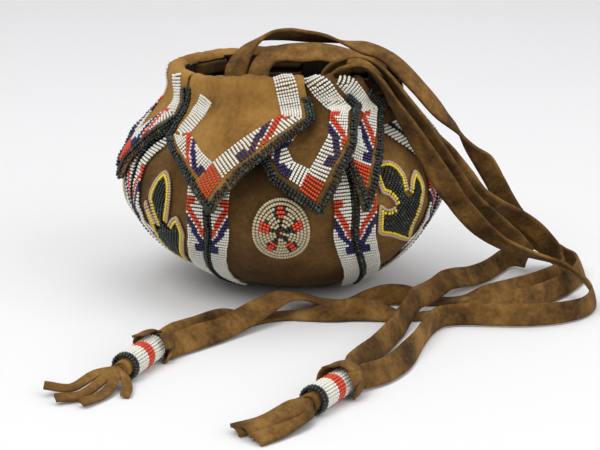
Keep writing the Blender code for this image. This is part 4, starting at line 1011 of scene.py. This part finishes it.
for k, outline, turn, row_angle in LEAVES:
    half_room = (seam_azimuth(k + 1, BELLY_HEIGHT) - seam_azimuth(k, BELLY_HEIGHT)) / 2
    room = math.radians(2 * half_room) * BAG_RADIUS
    fit = (room - 2 * LANE_WIDTH - RIDGE_WIDTH) / LEAF_ROOM * turn
    knots = [(fit * x, y) for x, y in outline]
    knots = knots[-1:] + knots + knots[:2]
    line = smooth_path(knots, 8)[8:-9]
    travelled = travel(line)
    laid = []
    for inset, colour in LEAF_LINES:
        distances = np.arange(0.0, travelled[-1], LEAF_BEAD_STEP)
        spots = at_distance(line, travelled, distances)
        aheads = at_distance(line, travelled, distances + LEAF_STEP) - spots
        moving = np.linalg.norm(aheads, axis=1) > 1e-7
        spots = spots[moving]
        aheads = unit(aheads[moving])
        lefts = left_of(aheads.T).T
        inner = spots + lefts * inset
        within, _ = inside_and_depth(line, inner)
        if within.mean() < 0.5:
            inner = spots - lefts * inset
        within, depth = inside_and_depth(line, inner)
        for spot, ahead, good, deep in zip(inner, aheads, within, depth):
            if good and deep > inset * 0.82:
                laid.append((spot, ahead, colour))
    angle = math.radians(row_angle)
    row_way = np.array((math.cos(angle), math.sin(angle)))
    row_side = left_of(row_way)
    middle = line.mean(axis=0)
    steps = np.arange(-LEAF_REACH, LEAF_REACH, LEAF_BEAD_STEP)
    ranks = np.arange(-LEAF_REACH, LEAF_REACH, LEAF_ROW)
    grid = np.array([middle + row_way * a + row_side * b for b in ranks for a in steps])
    within, depth = inside_and_depth(line, grid)
    for spot in grid[within & (depth > LEAF_MARGIN)]:
        laid.append((spot, row_way, DARK_MIX[dark_chance.integers(len(DARK_MIX))]))
    spots = []
    for spot, ahead, colour in laid:
        radius, height, _, _ = along_profile(spot[1])
        centre = (seam_azimuth(k, height) + seam_azimuth(k + 1, height)) / 2
        azimuth = centre + math.degrees(spot[0] / radius)
        turn = math.degrees(ahead[0] * HOLE_STEP / radius)
        spots.append((azimuth, spot[1], LEAF_SEAT + BEAD / 2, turn, ahead[1] * HOLE_STEP))
    colours = [bead[2] for bead in laid]
    sew_to_bag(f"leaf_beads_{k + 1}", f"leaf_{k + 1}", "leaf_beads", spots, colours, LEAF_BEAD, LEAF_LOOSE)


# Drawstrings. Each is a flat hide thong that goes round the neck through its row of slits, inside the middle
# of each gore and outside across each seam.
WOVEN_WIDTH = 0.0060
WOVEN_THICKNESS = 0.0012
WOVEN_CLEARANCE = 0.0007
WOVEN_STEP = 2.0
WOVEN_COLUMNS = 5


def woven_points(slit_low, start_gore):
    """Rows of points across a thong, from the middle of one gore round the neck to the same place."""
    middle = (length_at(slit_low) + length_at(slit_low + SLIT_HEIGHT)) / 2
    outside = WOVEN_CLEARANCE + WOVEN_THICKNESS / 2
    inside = -HIDE - outside
    through = math.degrees(SLIT_OPENING * 0.3 / along_profile(middle)[0])
    stops = []
    for k in range(start_gore, start_gore + 9):
        left = seam_azimuth(k, NECK_HEIGHT)
        right = seam_azimuth(k + 1, NECK_HEIGHT)
        width = right - left
        begin = left + width / 2
        if k == start_gore:
            stops.append((begin + WOVEN_STEP, inside))
        else:
            first_slit = left + width / 4
            stops += [(left, outside), (first_slit - through, outside), (first_slit + through, inside)]
        if k == start_gore + 8:
            stops.append((begin - WOVEN_STEP, inside))
            break
        second_slit = left + width * 3 / 4
        if k > start_gore:
            stops.append((left + width / 2, inside))
        stops += [(second_slit - through, inside), (second_slit + through, outside)]
    stops = np.array(stops)
    azimuths = np.sort(np.concatenate((stops[:, 0], np.arange(stops[0, 0], stops[-1, 0], WOVEN_STEP))))
    lifts = np.interp(azimuths, stops[:, 0], stops[:, 1])
    rows = []
    for offset in np.linspace(-0.5, 0.5, WOVEN_COLUMNS):
        rows.append(on_bag(azimuths, middle + offset * WOVEN_WIDTH, lifts)[0])
    return np.stack(rows, axis=1)


for side, slit_low, start_gore in (("left", SLIT_HEIGHTS[2], 0), ("right", SLIT_HEIGHTS[0], 2)):
    points = woven_points(slit_low, start_gore)
    # The drawstrings take the darker copy of the thong hide, as painted shade.
    woven = grid_sheet(f"woven_thong_{side}", points, WOVEN_THICKNESS, 0.0, [hides["woven thong hide with painted shade"]])
    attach(woven, "root")
    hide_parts(f"drawstring_{side}")


# Tassels. Each is a roll of hide wrapped with rings of beads. One end is cut into strips, and tabs of hide
# come over the other, where two thongs go in.
TUBE_RADIUS = 0.0057
TUBE_LENGTH = 0.0300
TUBE_BEADS = 24
PIECE_GAP = 0.0004
STRIP_WIDTH = 0.0040
STRIP_THICKNESS = 0.0016
TAB_LIFT = 0.0009
TAB_START = 0.0045
TAB_THICKNESS = 0.0010
TAB_FLOOR = 0.0008
CORE_GAP = 0.0005
CORE_PAST = 0.003
CORE_WALL = 0.0008
CORE_TURNS = 1.6
RING_COLOURS = ("green", *["white"] * 5, *["red"] * 3, *["white"] * 5, *["green"] * 2)
TASSELS = {
    "left": {
        "inner": (-0.0545, -0.1210), "outer": (-0.0655, -0.1490), "cut": (STRIP_WIDTH, 0.0008),
        "tabs": ((75, 26, 0.013), (150, 30, 0.007), (215, 26, 0.005), (20, 22, 0.004)),
        "strips": (
            ((-0.0760, -0.1560, 0.0060), (-0.0850, -0.1640, 0.0030), (-0.0960, -0.1650, 0.0045)),
            ((-0.0720, -0.1580, 0.0050), (-0.0800, -0.1700, 0.0022), (-0.0900, -0.1750, 0.0030)),
            ((-0.0680, -0.1570, 0.0045), (-0.0710, -0.1680, 0.0020), (-0.0790, -0.1790, 0.0024)),
            ((-0.0640, -0.1560, 0.0040), (-0.0625, -0.1630, 0.0018), (-0.0630, -0.1690, 0.0016)),
        ),
    },
    "right": {
        "inner": (0.0270, -0.1610), "outer": (0.0120, -0.1870), "cut": (0.0076, 0.0030),
        "tabs": ((70, 30, 0.012), (112, 30, 0.009), (150, 28, 0.011), (195, 30, 0.009), (20, 28, 0.010)),
        "strips": (
            ((0.0060, -0.1960, 0.0080), (-0.0030, -0.2040, 0.0060), (-0.0130, -0.2110, 0.0040)),
            ((0.0080, -0.1980, 0.0050), (0.0000, -0.2080, 0.0030), (-0.0090, -0.2160, 0.0022)),
            ((0.0040, -0.1940, 0.0050), (-0.0060, -0.2000, 0.0030), (-0.0170, -0.2070, 0.0024)),
        ),
    },
}
for side, tassel in TASSELS.items():
    inner = np.array((*tassel["inner"], TUBE_RADIUS + PIECE_GAP))
    outer = np.array((*tassel["outer"], TUBE_RADIUS + PIECE_GAP))
    middle = (inner + outer) / 2
    way = unit(outer - inner)
    level = unit(np.cross(way, (0.0, 0.0, 1.0)))
    upright = np.cross(level, way)
    places = []
    alongs = []
    outs = []
    colours = []
    pitch = TUBE_LENGTH / len(RING_COLOURS)
    for ring, colour in enumerate(RING_COLOURS):
        centre = middle + way * (-TUBE_LENGTH / 2 + (ring + 0.5) * pitch)
        for number in range(TUBE_BEADS):
            angle = 2 * math.pi * number / TUBE_BEADS
            out = level * math.cos(angle) + upright * math.sin(angle)
            alongs.append(upright * math.cos(angle) - level * math.sin(angle))
            outs.append(out)
            swell = BEAD / 5 if colour == "green" else 0.0
            places.append(centre + out * (TUBE_RADIUS - BEAD / 2 + swell))
            colours.append(colour)
    size = (2 * math.pi * TUBE_RADIUS / TUBE_BEADS * 0.86, pitch * BEAD_FILL)
    beads = (np.array(places), np.array(alongs), np.array(outs), colours, size)
    sewn_beads(f"tassel_rings_{side}", f"tassel_beads_{side}", "tassel_beads", *beads)
    core_radius = TUBE_RADIUS - BEAD - CORE_GAP
    rows = []
    for along in np.linspace(-TUBE_LENGTH / 2 - CORE_PAST, TUBE_LENGTH / 2 + CORE_PAST, 12):
        angles = np.linspace(0.0, 2 * math.pi * CORE_TURNS, 40)
        roll = core_radius * (0.45 + 0.5 * angles / angles[-1])
        spiral = level * (np.cos(angles) * roll)[:, None] + upright * (np.sin(angles) * roll)[:, None]
        rows.append(middle + way * along + spiral)
    core = grid_sheet(f"tassel_roll_{side}", np.stack(rows), CORE_WALL, 0.0, [hides["thong hide"]])
    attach(core, "root")
    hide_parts(f"tassel_hide_{side}")
    root = middle + way * TUBE_LENGTH * 0.42
    for number, strip in enumerate(tassel["strips"]):
        route = [(*root, 35), (*(middle + way * TUBE_LENGTH * 0.58), 35), *[(*point, 20) for point in strip]]
        width, curl = tassel["cut"]
        points, _ = strip_points(route, width, 7, 8, 40 + number, curl)
        points[:, :, 2] = np.maximum(points[:, :, 2], STRIP_THICKNESS / 2 + FLOOR_GAP)
        name = f"fringe_{side}_{number + 1}"
        fringe = grid_sheet(name, points, STRIP_THICKNESS, 0.0, [hides["thong hide"]])
        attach(fringe, "root")
    for number, (middle_angle, half_angle, reach) in enumerate(tassel["tabs"]):
        angles = np.radians(np.linspace(middle_angle - half_angle, middle_angle + half_angle, 7))
        rows = []
        for share in np.linspace(0.0, 1.0, 9):
            taper = 1 - 0.35 * share**2
            spread = np.radians(middle_angle) + (angles - np.radians(middle_angle)) * taper
            radius = core_radius + 0.0012 + (TUBE_RADIUS - core_radius + TAB_LIFT) * eased(share * 2.2)
            radius = radius + 0.0010 * share**3
            arc = level * np.cos(spread)[:, None] + upright * np.sin(spread)[:, None]
            away = -TUBE_LENGTH / 2 - TAB_START + (reach + TAB_START) * share
            rows.append(middle + way * away + arc * radius)
        points = np.stack(rows)
        points[:, :, 2] = np.maximum(points[:, :, 2], TAB_FLOOR)
        tab = grid_sheet(f"tab_{side}_{number + 1}", points, TAB_THICKNESS, 0.0, [hides["thong hide"]])
        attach(tab, "root")

for letter, side in (("a", "left"), ("b", "left"), ("c", "right"), ("d", "right")):
    thong, centres = thongs[letter]
    length = float(np.linalg.norm(np.diff(centres, axis=0), axis=1).sum())


# Floor and backdrop: one pale sheet that curves up behind the bag, in soft daylight.
BACKDROP_LINE = (
    (-2.5, 0.0), (-1.0, 0.0), (0.4, 0.0), (1.2, 0.0), (1.6, 0.06), (1.85, 0.25), (1.95, 0.55), (2.0, 2.2),
)
BACKDROP_THICKNESS = 0.004
LAMP_TARGET = Vector((0.0, -0.03, 0.04))
DAYLIGHT = 0.46

backdrop_rows = np.array([[(x, y, z) for x in (-2.5, 0.0, 2.5)] for y, z in BACKDROP_LINE])
backdrop = grid_sheet("backdrop", backdrop_rows, BACKDROP_THICKNESS, -1.0, [])
sweep = backdrop.modifiers.new("sweep", "SUBSURF")
sweep.levels = 3
sweep.render_levels = 3
pale = bpy.data.materials.new("pale floor")
pale.use_nodes = True
pale.node_tree.nodes["Principled BSDF"].inputs["Base Color"].default_value = (0.80, 0.80, 0.81, 1.0)
pale.node_tree.nodes["Principled BSDF"].inputs["Roughness"].default_value = 0.9
backdrop.data.materials.append(pale)

for name, place, size, power in (
    ("key light", (-0.9, -1.1, 1.7), 1.2, 20.5),
    ("fill light", (1.3, -0.9, 1.1), 1.6, 13.5),
    ("top light", (0.1, 0.3, 2.0), 1.8, 14.5),
):
    lamp = bpy.data.lights.new(name, "AREA")
    lamp.size = size
    lamp.energy = power
    light = bpy.data.objects.new(name, lamp)
    bpy.context.scene.collection.objects.link(light)
    light.location = place
    light.rotation_euler = (LAMP_TARGET - Vector(place)).to_track_quat("-Z", "Y").to_euler()

world = bpy.context.scene.world or bpy.data.worlds.new("daylight")
bpy.context.scene.world = world
world.use_nodes = True
world.node_tree.nodes["Background"].inputs["Color"].default_value = (1.0, 1.0, 1.0, 1.0)
world.node_tree.nodes["Background"].inputs["Strength"].default_value = DAYLIGHT
